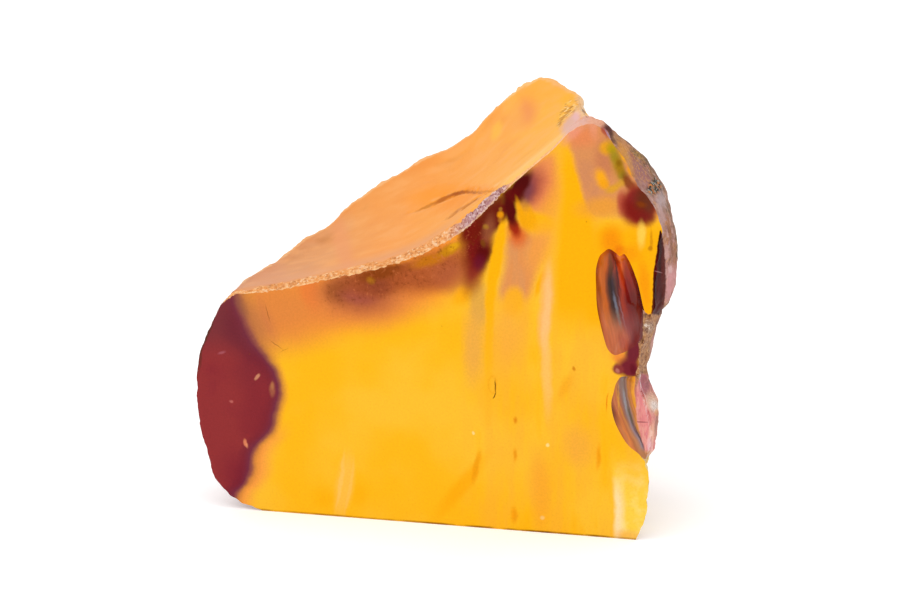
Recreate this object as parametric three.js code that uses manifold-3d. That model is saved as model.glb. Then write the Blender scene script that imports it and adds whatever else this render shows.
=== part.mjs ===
// A rough piece of mookaite jasper: one stone, 77 mm wide, with one flat sawn face.
//
// Millimetres, +Z up. X runs along the sawn face from left to right, Y runs into the stone, and the
// stone stands on its flat base at Z = 0. All the points below are measured from the left end of the
// stone (X), from the sawn face (Y) and from the base (Z). The finished stone is then moved so that
// the origin is at the middle of its base box.
//
// The body is a cube bent into the stone: three sections, one in the sawn face, one a little way in
// and one at the back, each have a left, right, top and base line. Ellipsoid cuts leave the
// shell-shaped scars of flakes that broke away, and two thin grooves are cracks in the broken top.

import * as THREE from "three";
import { ImprovedNoise } from "three/addons/math/ImprovedNoise.js";
import { mergeVertices } from "three/addons/utils/BufferGeometryUtils.js";
import Module from "manifold-3d";

const GRID = { along: 37, deep: 14, high: 24 }; // cells of the cube along X, Y and Z
const FIRST_ROW = 0.045; // the share of the depth that the worn upper edge takes
const MIDDLE = 0.32; // where the middle section lies between the sawn face and the back

// The upper edge of the sawn face is worn down by this much, and more so in one stretch, which is
// centred at a share of the edge's length. The wear fades out quickly down the face.
const WEAR = { drop: 0.95, extra: 1.6, centre: 0.64, spread: 0.11, fade: 8 };

const BACK_BULGE = 5.5; // how far the back swells behind its own outline
const AXIS = { x: 42, y: 14, flatness: 1.4 }; // lumps rise away from this upright line
const FOOT = { height: 3, tuck: 1.6 }; // near the base, the rind tucks in by this much

// Lumps of the natural rind, which fade towards the sawn face and towards the broken top.
const LUMPS = [
  { wavelength: 15, rise: 2.2 },
  { wavelength: 7, rise: 1.1 },
  { wavelength: 3.6, rise: 0.55 },
];
const LUMP_SEED = new THREE.Vector3(5.3, 2.1, 8.7);
const CALM = { front: 0.16, top: 0.12, leftAtTop: 0.15 };

const line = (...points) =>
  new THREE.CatmullRomCurve3(
    points.map((p) => new THREE.Vector3(...p)),
    false,
    "centripetal",
  );

// Each section's left and right lines run upwards, and its base and top lines run to the right.
const front = {
  left: line(
    [11.5, 0, 0],
    [7.8, 0, 1],
    [4.5, 0, 2.7],
    [2.5, 0, 4.6],
    [1.2, 0, 9.5],
    [0.1, 0, 16.5],
    [0.2, 0, 24.5],
    [2.6, 0, 31.2],
    [4.3, 0, 34.6],
    [6.3, 0, 36.4],
  ),
  right: line(
    [71.6, 0, 0],
    [73.2, 0, 4.5],
    [73.7, 0, 9],
    [73.5, 0, 16],
    [72.4, 0, 23.5],
    [71.7, 0, 29],
    [73.1, 0, 33.5],
    [74.2, 0, 38],
    [74.4, 0, 45],
    [74.9, 0, 50.5],
    [73.3, 0, 54],
    [71, 0, 57],
    [69.3, 0, 60.6],
    [67.6, 0, 63.8],
    [66.1, 0, 65.6],
    [64.8, 0, 66.4],
    [63.2, 0, 66.5],
  ),
  top: line(
    [6.3, 0, 36.4],
    [13, 0, 37.5],
    [22, 0, 39.9],
    [30, 0, 42],
    [37, 0, 44.8],
    [42.5, 0, 49],
    [47.5, 0, 53.6],
    [53, 0, 57.9],
    [58, 0, 62.2],
    [60.8, 0, 65.2],
    [63.2, 0, 66.5],
  ),
  base: line([11.5, 0, 0], [31, 0, 0], [51, 0, 0], [71.6, 0, 0]),
};

const middle = {
  left: line(
    [10.5, 10, 0],
    [4.2, 10, 4.5],
    [1.6, 10, 12],
    [0.8, 9.5, 20],
    [1.6, 6.5, 29],
    [5.9, 2.2, 36.3],
  ),
  right: line(
    [68.6, 10, 0],
    [71.2, 10, 6],
    [72.2, 9, 12],
    [73.3, 8, 18],
    [72, 8, 24],
    [71.5, 8, 29],
    [73.4, 8, 35],
    [75.8, 8, 41],
    [75.6, 8, 47],
    [75.3, 8, 52],
    [73, 8, 56.4],
    [69.8, 8, 60.2],
    [66.8, 8, 62.8],
    [64, 8, 64.7],
    [61.2, 8, 65.9],
  ),
  top: line(
    [5.9, 2.2, 36.3],
    [9, 6, 37.2],
    [15, 9, 38.8],
    [23, 10, 41.4],
    [31, 10.5, 44.4],
    [39, 10.5, 49],
    [46, 10.5, 54.6],
    [52.5, 10, 59.6],
    [57.5, 9, 63.4],
    [61.2, 8, 65.9],
  ),
  base: line([10.5, 10, 0], [30, 11.5, 0], [50, 12, 0], [68.6, 10, 0]),
};

const back = {
  left: line(
    [13, 21, 0],
    [8, 19, 8],
    [5.4, 16, 18],
    [4.2, 11, 28],
    [5.6, 5, 36.3],
  ),
  right: line(
    [57, 33, 0],
    [63, 31, 8],
    [66.5, 29, 20],
    [68.5, 27, 34],
    [67.5, 25, 46],
    [63.5, 23, 57],
    [57.7, 22, 66.2],
  ),
  top: line(
    [5.6, 5, 36.3],
    [7.2, 9, 37.4],
    [9.6, 14, 39.2],
    [12.5, 18, 41.8],
    [14, 20, 42.2],
    [15.4, 22, 43.2],
    [16.9, 24, 45.1],
    [20.5, 26, 47.8],
    [26.1, 28, 51.4],
    [30, 29, 53.7],
    [33.8, 30, 55.4],
    [37.9, 30, 58.2],
    [42, 30, 62.7],
    [46.5, 28, 66.5],
    [50.7, 27, 68.1],
    [54, 25, 67.5],
    [57.7, 22, 66.2],
  ),
  base: line([13, 21, 0], [25, 29, 0], [41, 34, 0], [57, 33, 0]),
};

// Flake scars, each an ellipsoid cut: its centre, its half sizes, and how far it leans in degrees.
const SCARS = [
  { at: [69.4, -1.2, 38.3], half: [4.15, 3.4, 8.7], lean: -13 }, // the long shell at the right edge
  { at: [71.1, -0.6, 19.7], half: [2.6, 2.8, 6.5], lean: -18 }, // the small shell low on that edge
  { at: [63, 24, 72], half: [6, 19, 12], lean: 0 }, // the bite that ends the broken top
  { at: [-5, 79, 12], half: [58, 58, 42], lean: 0 }, // three broad, shallow scars on the back
  { at: [76, 84, 43], half: [58, 58, 44], lean: 0 },
  { at: [43, 92, 19], half: [58, 58, 40], lean: 0 },
];
const SCAR_FACET = 2.6; // the length of a scar's facets

// Cracks across the broken top, along lines that lie in it and rise out of it at both ends.
const CRACKS = [
  line([51, 0.5, 56.9], [46.4, 5, 53.3], [41.1, 14.1, 51.6], [36.2, 16.6, 49.4], [31, 16.8, 47.6]),
  line([46, 6, 53.6], [43.7, 6.4, 51.4], [41, 7.4, 49.3], [38.5, 8.4, 48.6]),
];
const CRACK_RADIUS = 0.55;
const CRACK_STEPS = 16;
const CRACK_SIDES = 6;

// A point inside a section: a Coons patch between its four lines.
function acrossSection(section, u, w) {
  const left = section.left.getPointAt(w);
  const right = section.right.getPointAt(w);
  const base = section.base.getPointAt(u);
  const top = section.top.getPointAt(u);
  const corners = new THREE.Vector3()
    .addScaledVector(section.base.getPointAt(0), (1 - u) * (1 - w))
    .addScaledVector(section.base.getPointAt(1), u * (1 - w))
    .addScaledVector(section.top.getPointAt(0), (1 - u) * w)
    .addScaledVector(section.top.getPointAt(1), u * w);
  return new THREE.Vector3()
    .addScaledVector(left, 1 - u)
    .addScaledVector(right, u)
    .addScaledVector(base, 1 - w)
    .addScaledVector(top, w)
    .sub(corners);
}

// The three sections joined by a parabola in depth, with the back's swelling.
function insideStone(u, v, w) {
  const atFront = ((v - MIDDLE) * (v - 1)) / MIDDLE;
  const atMiddle = (v * (v - 1)) / (MIDDLE * (MIDDLE - 1));
  const atBack = (v * (v - MIDDLE)) / (1 - MIDDLE);
  const point = new THREE.Vector3()
    .addScaledVector(acrossSection(front, u, w), atFront)
    .addScaledVector(acrossSection(middle, u, w), atMiddle)
    .addScaledVector(acrossSection(back, u, w), atBack);
  point.y += BACK_BULGE * v * v * Math.sin(Math.PI * u) * Math.sin(Math.PI * w);
  return point;
}

// How far a point of the sawn face is worn down.
function wear(u, w) {
  const fromCentre = (u - WEAR.centre) / WEAR.spread;
  return (WEAR.drop + WEAR.extra * Math.exp(-fromCentre * fromCentre)) * w ** WEAR.fade;
}

const noise = new ImprovedNoise();

// Lifts a point of the left side, right side or back by the rind's lumps, and tucks in its foot.
function roughen(point, u, v, w) {
  const onRind = u === 0 || u === 1 || v === 1;
  if (!onRind) return;
  const calmFront = THREE.MathUtils.smoothstep(v, 0, CALM.front);
  const calmTop = THREE.MathUtils.lerp(
    1,
    CALM.leftAtTop,
    THREE.MathUtils.smoothstep(w, 1 - CALM.top, 1),
  );
  let height = 0;
  for (const { wavelength, rise } of LUMPS) {
    const place = point.clone().divideScalar(wavelength).add(LUMP_SEED);
    height += rise * noise.noise(place.x, place.y, place.z);
  }
  const tuck = FOOT.tuck * (1 - THREE.MathUtils.smoothstep(point.z, 0, FOOT.height));
  const outward = new THREE.Vector3(point.x - AXIS.x, (point.y - AXIS.y) * AXIS.flatness, 0);
  point.addScaledVector(outward.normalize(), (height - tuck) * calmFront * calmTop);
}

// The grid line of a cube corner along one side, as a whole number from 0.
function gridLine(coordinate, cells) {
  return Math.round((coordinate + 0.5) * cells);
}

// Grid lines are evenly spaced in depth, but for the thin first row behind the sawn face.
function depthOf(row) {
  if (row === 0) return 0;
  return FIRST_ROW + ((row - 1) / (GRID.deep - 1)) * (1 - FIRST_ROW);
}

function bentCube() {
  const cube = new THREE.BoxGeometry(1, 1, 1, GRID.along, GRID.deep, GRID.high);
  const corners = cube.getAttribute("position");
  for (let i = 0; i < corners.count; i++) {
    const u = gridLine(corners.getX(i), GRID.along) / GRID.along;
    const v = depthOf(gridLine(corners.getY(i), GRID.deep));
    const w = gridLine(corners.getZ(i), GRID.high) / GRID.high;
    const point = insideStone(u, v, w);
    if (v === 0) point.z -= wear(u, w);
    roughen(point, u, v, w);
    corners.setXYZ(i, point.x, point.y, w === 0 ? 0 : point.z);
  }
  return cube;
}

function scar({ at, half, lean }) {
  const around = Math.round((2 * Math.PI * Math.max(...half)) / SCAR_FACET);
  const ball = new THREE.SphereGeometry(1, around, Math.round(around / 2));
  ball.rotateX(Math.PI / 2);
  ball.scale(...half);
  ball.rotateY(THREE.MathUtils.degToRad(lean));
  ball.translate(...at);
  return ball;
}

function crack(path) {
  const section = new THREE.Shape().absarc(0, 0, CRACK_RADIUS, 0, 2 * Math.PI);
  return new THREE.ExtrudeGeometry(section, {
    steps: CRACK_STEPS,
    curveSegments: CRACK_SIDES,
    bevelEnabled: false,
    extrudePath: path,
  });
}

const wasm = await Module();
wasm.setup();

function solidOf(geometry) {
  geometry.deleteAttribute("normal");
  geometry.deleteAttribute("uv");
  const merged = mergeVertices(geometry, 1e-3);
  return new wasm.Manifold(
    new wasm.Mesh({
      numProp: 3,
      vertProperties: new Float32Array(merged.getAttribute("position").array),
      triVerts: new Uint32Array(merged.index.array),
    }),
  );
}

function geometryOf(solid) {
  const mesh = solid.getMesh();
  const geometry = new THREE.BufferGeometry();
  geometry.setAttribute("position", new THREE.BufferAttribute(mesh.vertProperties, 3));
  geometry.setIndex(new THREE.BufferAttribute(mesh.triVerts, 1));
  return geometry;
}

let solid = solidOf(bentCube());
for (const cut of [...SCARS.map(scar), ...CRACKS.map(crack)]) {
  solid = solid.subtract(solidOf(cut));
}

const geometry = geometryOf(solid);
geometry.computeBoundingBox();
const box = geometry.boundingBox;

const stone = new THREE.Mesh(
  geometry,
  new THREE.MeshStandardMaterial({ color: 0xfdb52b, roughness: 0.45, metalness: 0 }),
);
stone.name = "mookaite_stone";
stone.position.set(-(box.min.x + box.max.x) / 2, -(box.min.y + box.max.y) / 2, -box.min.z);

const part = new THREE.Group();
part.add(stone);

export default part;
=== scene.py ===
"""A rough piece of mookaite jasper, sawn on its front and base and broken everywhere else."""

import math

import bmesh
import bpy
import numpy as np
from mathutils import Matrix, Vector
from mathutils.bvhtree import BVHTree


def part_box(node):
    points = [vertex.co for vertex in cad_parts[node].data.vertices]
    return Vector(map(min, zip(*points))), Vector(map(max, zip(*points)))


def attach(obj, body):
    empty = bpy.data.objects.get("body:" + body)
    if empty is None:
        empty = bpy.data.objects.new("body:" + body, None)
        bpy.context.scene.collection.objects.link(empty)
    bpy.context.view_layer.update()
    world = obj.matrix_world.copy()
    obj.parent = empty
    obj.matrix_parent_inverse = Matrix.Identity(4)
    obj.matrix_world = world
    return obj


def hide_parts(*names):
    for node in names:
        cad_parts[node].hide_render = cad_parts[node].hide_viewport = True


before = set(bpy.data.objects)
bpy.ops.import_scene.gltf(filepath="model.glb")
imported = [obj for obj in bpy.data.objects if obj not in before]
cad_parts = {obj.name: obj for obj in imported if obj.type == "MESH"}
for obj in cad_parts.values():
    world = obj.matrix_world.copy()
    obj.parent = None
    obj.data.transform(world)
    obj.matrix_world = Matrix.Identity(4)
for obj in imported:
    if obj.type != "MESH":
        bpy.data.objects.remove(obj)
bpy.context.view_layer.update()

NODE = "mookaite_stone"
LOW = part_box(NODE)[0]

# All shaping is done in millimetres from the lowest corner of the stone: u runs to the
# right, y goes back from the sawn front face and z goes up from the sawn base.
MM = 1000.0
WELD = 2e-6           # points of the CAD mesh closer than this are one, in metres
VOXEL = 0.52          # size of the even mesh that the surface detail starts from
SPARE = 1.2           # stone left on the sawn faces until they are cut flat
FLAT = 1e-3           # a face this close to a sawn plane lies in it
SHARP_ANGLE = 38      # faces that meet at more degrees than this show a sharp edge

# The faces of the stone, in the order of their materials.
SAWN_FACE, BROKEN_TOP, RIND, UPPER, LOWER, SAWN_BASE, BROKEN_BACK = range(7)

# The chipped edge between the sawn front and the broken top, as (u, z) on the front face.
ARRIS = ((5.2, 34.6), (14, 36.6), (24, 39.3), (33, 41.9), (41, 45.8), (47, 50.5), (53, 56.4), (58, 61),
         (62, 65))

# The two lines of the crack that crosses the broken top, as (u, y, z).
CRACK = ((30.5, 17.4, 46.7), (34.5, 16, 48.2), (36.2, 16.6, 49.4), (38.8, 15.9, 50.7),
         (41.1, 14.1, 51.6), (46.4, 4.9, 53.3), (49, 1.2, 54.4))
SIDE_CRACK = ((38.5, 8.4, 48.0), (40.1, 7.4, 48.6), (42.3, 7.1, 50.3), (43.7, 6.4, 51.2))


# ---------------- noise and distances


def hashed(i, j, k, seed):
    """A fixed value from -1 to 1 for each whole-number point."""
    h = i * 73856093 ^ j * 19349663 ^ k * 83492791 ^ seed * 2654435761
    h = (h ^ (h >> 13)) * 1274126177 & 0xFFFFFFFF
    h = (h ^ (h >> 16)) * 2246822519 & 0xFFFFFFFF
    h = h ^ (h >> 15)
    return (h & 0xFFFF) / 32767.5 - 1.0


def lumps(points, size, seed):
    """Smooth lumps of about the given size, from -1 to 1."""
    at = np.asarray(points) / size + 1000.0
    whole = np.floor(at).astype(np.int64)
    part = at - whole
    part = part * part * part * (part * (part * 6 - 15) + 10)
    total = 0.0
    for corner in range(8):
        side = (corner & 1, corner >> 1 & 1, corner >> 2)
        weight = np.prod([part[:, a] if side[a] else 1 - part[:, a] for a in range(3)], axis=0)
        cell = [whole[:, a] + side[a] for a in range(3)]
        total = total + weight * hashed(*cell, seed)
    return total


def rough(points, size, octaves, seed):
    """Lumps with smaller lumps on them."""
    total = 0.0
    for octave in range(octaves):
        total = total + 0.5**octave * lumps(points, size / 2**octave, seed + 17 * octave)
    return total


def ridges(points, size, octaves, seed):
    """Sharp crests with rounded hollows between them, from 0 to about 1."""
    total = 0.0
    for octave in range(octaves):
        total = total + 0.5**octave * (1 - np.abs(lumps(points, size / 2**octave, seed + 31 * octave)))
    return total / 1.75


def bowls(points, size, seed):
    """Hollows that meet in crests, from 0 at their middles to about 1."""
    at = np.asarray(points) / size + 500.0
    whole = np.floor(at).astype(np.int64)
    best = np.full(len(at), 9.0)
    for shift in np.ndindex(3, 3, 3):
        cell = whole + np.array(shift) - 1
        middle = np.stack([hashed(*cell.T, seed + a) for a in range(3)], axis=1)
        best = np.minimum(best, ((cell + 0.5 + 0.4 * middle - at) ** 2).sum(1))
    return best


def step(value, low, high):
    """0 below low, 1 above high and smooth between them."""
    t = np.clip((value - low) / (high - low), 0, 1)
    return t * t * (3 - 2 * t)


def gap(points, line):
    """Distance of each point from a line of several stretches, and how far along it is."""
    line = np.asarray(line, float)
    points = np.asarray(points)[:, : line.shape[1]]
    best = np.full(len(points), 1e9)
    along = np.zeros(len(points))
    done = 0.0
    for a, b in zip(line[:-1], line[1:]):
        length = np.linalg.norm(b - a)
        t = np.clip((points - a) @ (b - a) / length**2, 0, 1)
        away = np.linalg.norm(points - a - t[:, None] * (b - a), axis=1)
        nearer = away < best
        best = np.where(nearer, away, best)
        along = np.where(nearer, done + t * length, along)
        done = done + length
    return best, along


# ---------------- meshes as arrays, and objects


def arrays(mesh):
    """The points and triangles of a mesh."""
    points = np.zeros(len(mesh.vertices) * 3)
    mesh.vertices.foreach_get("co", points)
    mesh.calc_loop_triangles()
    faces = np.zeros(len(mesh.loop_triangles) * 3, np.int32)
    mesh.loop_triangles.foreach_get("vertices", faces)
    return points.reshape(-1, 3), faces.reshape(-1, 3)


def placed(name, data):
    """A new object in the scene."""
    made = bpy.data.objects.new(name, data)
    bpy.context.scene.collection.objects.link(made)
    return made


def move(mesh, points):
    """Puts the points of a mesh at new places."""
    mesh.vertices.foreach_set("co", np.ascontiguousarray(points, np.float32).ravel())
    mesh.update()


def face_normals(points, faces):
    """Unit normal and area of each triangle."""
    a, b, c = points[faces[:, 0]], points[faces[:, 1]], points[faces[:, 2]]
    cross = np.cross(b - a, c - a)
    size = np.linalg.norm(cross, axis=1)
    return cross / np.maximum(size, 1e-12)[:, None], size / 2


def gather(index, values, count):
    """Adds up rows of values by index."""
    return np.stack([np.bincount(index, values[:, a], count) for a in range(values.shape[1])], axis=1)


def point_normals(points, faces):
    """Unit normal at each point."""
    normal, area = face_normals(points, faces)
    total = gather(faces.ravel(), np.repeat(normal * area[:, None], 3, axis=0), len(points))
    return total / np.maximum(np.linalg.norm(total, axis=1), 1e-12)[:, None]


def shared_edges(faces):
    """For each edge, the two triangles that meet there."""
    edge = np.sort(np.stack([faces.ravel(), np.roll(faces, -1, axis=1).ravel()], axis=1), axis=1)
    key = edge[:, 0].astype(np.int64) * (faces.max() + 1) + edge[:, 1]
    order = np.argsort(key, kind="stable")
    same = key[order][1:] == key[order][:-1]
    return order[:-1][same] // 3, order[1:][same] // 3


def keep_edges(points, faces, rounds, spread):
    """Smooths the faces but leaves the edges between them crisp."""
    first, second = shared_edges(faces)
    normal, area = face_normals(points, faces)
    for _ in range(rounds):
        near = np.exp(-((normal[first] - normal[second]) ** 2).sum(1) / (2 * spread**2))[:, None]
        total = normal * area[:, None]
        total = total + gather(first, near * normal[second] * area[second, None], len(faces))
        total = total + gather(second, near * normal[first] * area[first, None], len(faces))
        normal = total / np.maximum(np.linalg.norm(total, axis=1), 1e-12)[:, None]
    used = np.bincount(faces.ravel(), minlength=len(points))[:, None]
    for _ in range(rounds):
        middle = points[faces].mean(axis=1)
        shift = (normal[:, None, :] * (middle[:, None, :] - points[faces])).sum(2)
        shift = shift[:, :, None] * normal[:, None, :]
        points = points + gather(faces.ravel(), shift.reshape(-1, 3), len(points)) / np.maximum(used, 1)
    return points


def neighbours(faces):
    """Both ends of every edge, each edge once in each direction."""
    a = np.concatenate([faces.ravel(), np.roll(faces, -1, axis=1).ravel()])
    b = np.concatenate([np.roll(faces, -1, axis=1).ravel(), faces.ravel()])
    return a, b


def relax(points, faces, rounds, amount):
    """Draws each point towards its neighbours by an amount from 0 to 1."""
    a, b = neighbours(faces)
    used = np.maximum(np.bincount(a, minlength=len(points)), 1)[:, None]
    for _ in range(rounds):
        points = points + amount[:, None] * (gather(a, points[b], len(points)) / used - points)
    return points


# ---------------- the stone's shape


def stone_with_spare():
    """The stone in millimetres, with spare stone left on its sawn front and base."""
    work = bmesh.new()
    work.from_mesh(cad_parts[NODE].data)
    bmesh.ops.remove_doubles(work, verts=work.verts, dist=WELD)
    for vert in work.verts:
        vert.co = (vert.co - LOW) * MM
    work.normal_update()
    for axis in (1, 2):
        facing = [f for f in work.faces if f.normal[axis] < -0.99]
        sawn = [f for f in facing if max(v.co[axis] for v in f.verts) < 0.05]
        grown = bmesh.ops.extrude_face_region(work, geom=sawn)["geom"]
        for vert in grown:
            if isinstance(vert, bmesh.types.BMVert):
                vert.co[axis] -= SPARE
        bmesh.ops.delete(work, geom=[f for f in sawn if f.is_valid], context="FACES")
        work.normal_update()
    return work


def in_order(mesh):
    """The points and triangles of a mesh, numbered by place so that every run numbers them alike."""
    points, faces = arrays(mesh)
    order = np.lexsort(points.T)
    faces = np.argsort(order)[faces]
    turns = (faces.argmin(1)[:, None] + np.arange(3)) % 3
    faces = np.take_along_axis(faces, turns, axis=1)
    return points[order].tolist(), faces[np.lexsort(faces.T)].tolist()


def evened(work):
    """The same shape covered by an even mesh that still keeps to its surface."""
    mesh = bpy.data.meshes.new("rough_shape")
    work.to_mesh(mesh)
    work.free()
    points, faces = in_order(mesh)
    surface = BVHTree.FromPolygons(points, faces, all_triangles=True)
    mesh.clear_geometry()
    mesh.from_pydata(points, [], faces)
    holder = placed("rough_shape", mesh)
    modifier = holder.modifiers.new("even", "REMESH")
    modifier.mode = "VOXEL"
    modifier.voxel_size = VOXEL
    modifier.adaptivity = 0
    shown = holder.evaluated_get(bpy.context.evaluated_depsgraph_get())
    even = bpy.data.meshes.new_from_object(shown)
    bpy.data.objects.remove(holder)
    for vert in even.vertices:
        vert.co = surface.find_nearest(vert.co)[0]
    return even


def refined(mesh, wanted):
    """Splits the edges where wanted(points) is true in two."""
    work = bmesh.new()
    work.from_mesh(mesh)
    points = np.array([v.co for v in work.verts])
    near = wanted(points)
    work.verts.ensure_lookup_table()
    chosen = [e for e in work.edges if near[e.verts[0].index] and near[e.verts[1].index]]
    bmesh.ops.subdivide_edges(work, edges=chosen, cuts=1, use_grid_fill=True, use_single_edge=True)
    bmesh.ops.triangulate(work, faces=[f for f in work.faces if len(f.verts) > 4])
    work.to_mesh(mesh)
    work.free()


def cut_flat(work, axis):
    """Cuts the spare stone off a sawn face and closes it with flat triangles."""
    toward = Vector([1.0 if a == axis else 0.0 for a in range(3)])
    geometry = work.verts[:] + work.edges[:] + work.faces[:]
    cut = bmesh.ops.bisect_plane(
        work, geom=geometry, dist=1e-4, plane_co=(0, 0, 0), plane_no=toward, clear_inner=True
    )
    edges = [e for e in cut["geom_cut"] if isinstance(e, bmesh.types.BMEdge) and e.is_boundary]
    bmesh.ops.triangle_fill(work, use_beauty=True, edges=edges, normal=-toward)


# The back edge of the broken top in plan, as (u, y).
BACK_EDGE = ((5.6, 5), (9.6, 14), (14, 20), (20.5, 26), (30, 29), (42, 30), (50.7, 27), (57.7, 22),
             (61.2, 8), (63.2, 0))

# The two flakes struck off the right of the front face, as (u, z) round their lips, the
# ridge inside the upper one and the crumbled edge between them.
UPPER_SCAR = (
    (67.1, 46.25), (65.9, 45.25), (65.3, 43.75), (65.2, 41.75), (65.25, 39.25), (65.55, 36.5),
    (65.95, 34.5), (66.45, 32.5), (67, 30.75), (67.6, 29.9), (68.3, 29.6), (69.3, 29.85), (70.1, 30.3),
    (71.2, 31), (72.4, 32.5), (72.9, 34), (73, 35.5), (72.9, 36.5), (72.5, 38), (71.9, 40.75),
    (71.4, 42.25), (70.9, 43.5), (70.25, 44.8), (69.6, 45.6), (69.15, 45.35), (68.8, 45.3), (68.3, 45.75),
)
SCAR_RIDGE = ((68.5, 45.4), (69.0, 43.2), (69.8, 40.6), (70.6, 38))
LOWER_SCAR = (
    (69.6, 26.2), (69.1, 26), (68.5, 24.75), (68.05, 23), (67.9, 21.5), (68.1, 20), (68.6, 18.5),
    (69.4, 17), (70.25, 15.75), (71.25, 14.75), (72.25, 14), (73, 13.5), (75, 12.9), (79, 15), (79, 24),
    (74, 26.6), (72, 26.4), (70.6, 26.3),
)
CRUMBLED = ((72.2, 36.6), (73.4, 36.4), (75.5, 36.2), (75.5, 31), (73, 30.4), (72, 31.4))
LIP_SLOPE = 1.44      # how steeply a scar's wall carries on through the spare stone

# The bevel at the top right of the front face, and the face's right end as (z, u).
BEVEL = (
    (65.8, 67), (66.6, 65), (67.6, 63.4), (68.9, 61.8), (69.8, 60), (70.5, 58.2), (71.3, 56.5),
    (72.8, 55.4), (74.3, 53.8), (75, 52.2), (75.6, 50.4), (79, 50), (80, 60), (72, 68),
)
RIGHT_END = (
    (10, 74.2), (12, 74), (14, 73.9), (17, 74.1), (20, 73.4), (22, 72.9), (24, 72.6), (26, 72.3),
    (28, 72.1), (30, 72.3), (32, 72.9), (34, 73.6), (36, 74.1), (38, 74.7), (42, 75), (50, 75.4),
)

# Places where the outline stands a little further out or in: (u, y, z), reach, and the push.
PUSHES = (
    ((75.2, 7, 38.3), (4, 4, 2.6), (0.85, 0, 0)),
    ((72.6, 8, 24.6), (3, 7, 2.2), (-0.75, 0, 0)),
    ((73.5, 9, 11), (3, 8.5, 1.9), (-0.8, 0, 0)),
    ((73.5, 11, 7), (3, 9, 7), (-0.5, 0, 0)),
    ((73.9, 0, 12.6), (1.5, 5, 1.3), (-0.55, 0, 0)),
    ((72.3, 11, 22.2), (3, 7, 1.7), (-0.5, 0, 0)),
    ((58.7, 22, 64.2), (2, 3, 1.2), (-0.45, 0, 0)),
    ((62.6, 7.8, 65.5), (2, 3.5, 1.5), (0, 0, -0.4)),
    ((64.9, 1.5, 66), (1.3, 3, 1.2), (0, 0, 0.3)),
    ((49.8, 26.7, 67.4), (4, 4, 2.5), (0, 0, 0.45)),
    ((73.2, 0, 2.6), (2, 3, 3.6), (0.4, 0, 0)),
    ((59.8, 16, 63.9), (1.6, 5.5, 1.0), (-0.45, 0, -0.3)),
    ((59.0, 19, 66.4), (1.3, 4, 1.4), (0.2, 0, 0)),
    ((1, 0, 19), (3, 8, 13), (-0.3, 0, 0)),
    ((6, 0, 1.5), (3.5, 6, 2.5), (-0.3, 0, -0.15)),
)


def band_width(u):
    """How wide the chipped edge is along the front, in millimetres."""
    return np.interp(u, (6, 14, 24, 36, 40, 42, 45, 48.5, 50, 51.5, 56, 61),
                     (1.2, 1.6, 1.8, 1.9, 1.75, 1.75, 1.9, 2.0, 1.6, 0.9, 0.6, 0.9))


def rounded(outline):
    """A closed outline with three smooth points added between each pair."""
    corners = np.asarray(outline, float)
    before, after, beyond = [np.roll(corners, shift, 0) for shift in (1, -1, -2)]
    square = 2 * before - 5 * corners + 4 * after - beyond
    cube = 3 * corners - before - 3 * after + beyond
    made = []
    for t in (0, 0.25, 0.5, 0.75):
        bend = square * t**2 + cube * t**3
        made.append(corners + 0.5 * ((after - before) * t + bend))
    return np.stack(made, axis=1).reshape(-1, 2)


def depth_inside(points, outline):
    """How far each (u, z) point lies inside a closed outline, negative outside it."""
    line = rounded(outline)
    away = gap(points, np.concatenate([line, line[:1]]))[0]
    u, z = points[:, 0], points[:, 1]
    inside = np.zeros(len(points), bool)
    for (ua, za), (ub, zb) in zip(line, np.roll(line, -1, 0)):
        crosses = (za > z) != (zb > z)
        inside ^= crosses & (u < (ub - ua) * (z - za) / (zb - za if zb != za else 1e-9) + ua)
    return np.where(inside, away, -away)


def scooped(inside, deepest, curve):
    """How deep a scar lies at each distance inside its lip, and its wall outside it."""
    return np.where(inside > 0, deepest * (1 - np.exp(-inside / curve)), wall(inside))


def wall(inside):
    """The slope that carries a scar's lip on through the spare stone."""
    return np.maximum(LIP_SLOPE * inside, -SPARE)


def squeezed(y, deep):
    """Presses the first 4 mm of the stone back behind a given depth."""
    return deep + (y + SPARE) * (4 - deep) / (4 + SPARE)


def hollowed(points):
    """Carves the two scars, the crumbled edge between them and the bevel into the front."""
    points = points.copy()
    front = points[:, ::2]
    u, z = front.T
    inner = u < np.interp(z, *np.transpose(RIGHT_END)) - 0.3
    upper = depth_inside(front, UPPER_SCAR)
    deep = scooped(upper, 2.3, 1.6)
    deep = deep - 0.5 * np.exp(-((gap(front, SCAR_RIDGE)[0] / 0.55) ** 2)) * step(upper, 0, 0.6)
    loose = depth_inside(front, CRUMBLED)
    deep = np.maximum(deep, np.where(loose > 0, np.minimum(1.5 * loose, 0.8), wall(loose)))
    near = (points[:, 1] < 4.2) & ((upper > -2.2) | (loose > 0)) & (z > 28.6) & inner
    points[near, 1] = deep[near]
    bevel = depth_inside(front, BEVEL)
    near = (points[:, 1] < 4) & (bevel > -1.33) & (z < 66.5)
    points[near, 1] = squeezed(points[:, 1], np.clip(bevel * 0.9, -SPARE, 1.6))[near]
    lower = depth_inside(front, LOWER_SCAR)
    deep = scooped(lower, 1.9, 1.3)
    near = (points[:, 1] < 4) & (lower > -1.5) & (u < 75)
    deep = np.where(inner, np.maximum(points[:, 1], deep), squeezed(points[:, 1], deep))
    points[near, 1] = deep[near]
    return points


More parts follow.
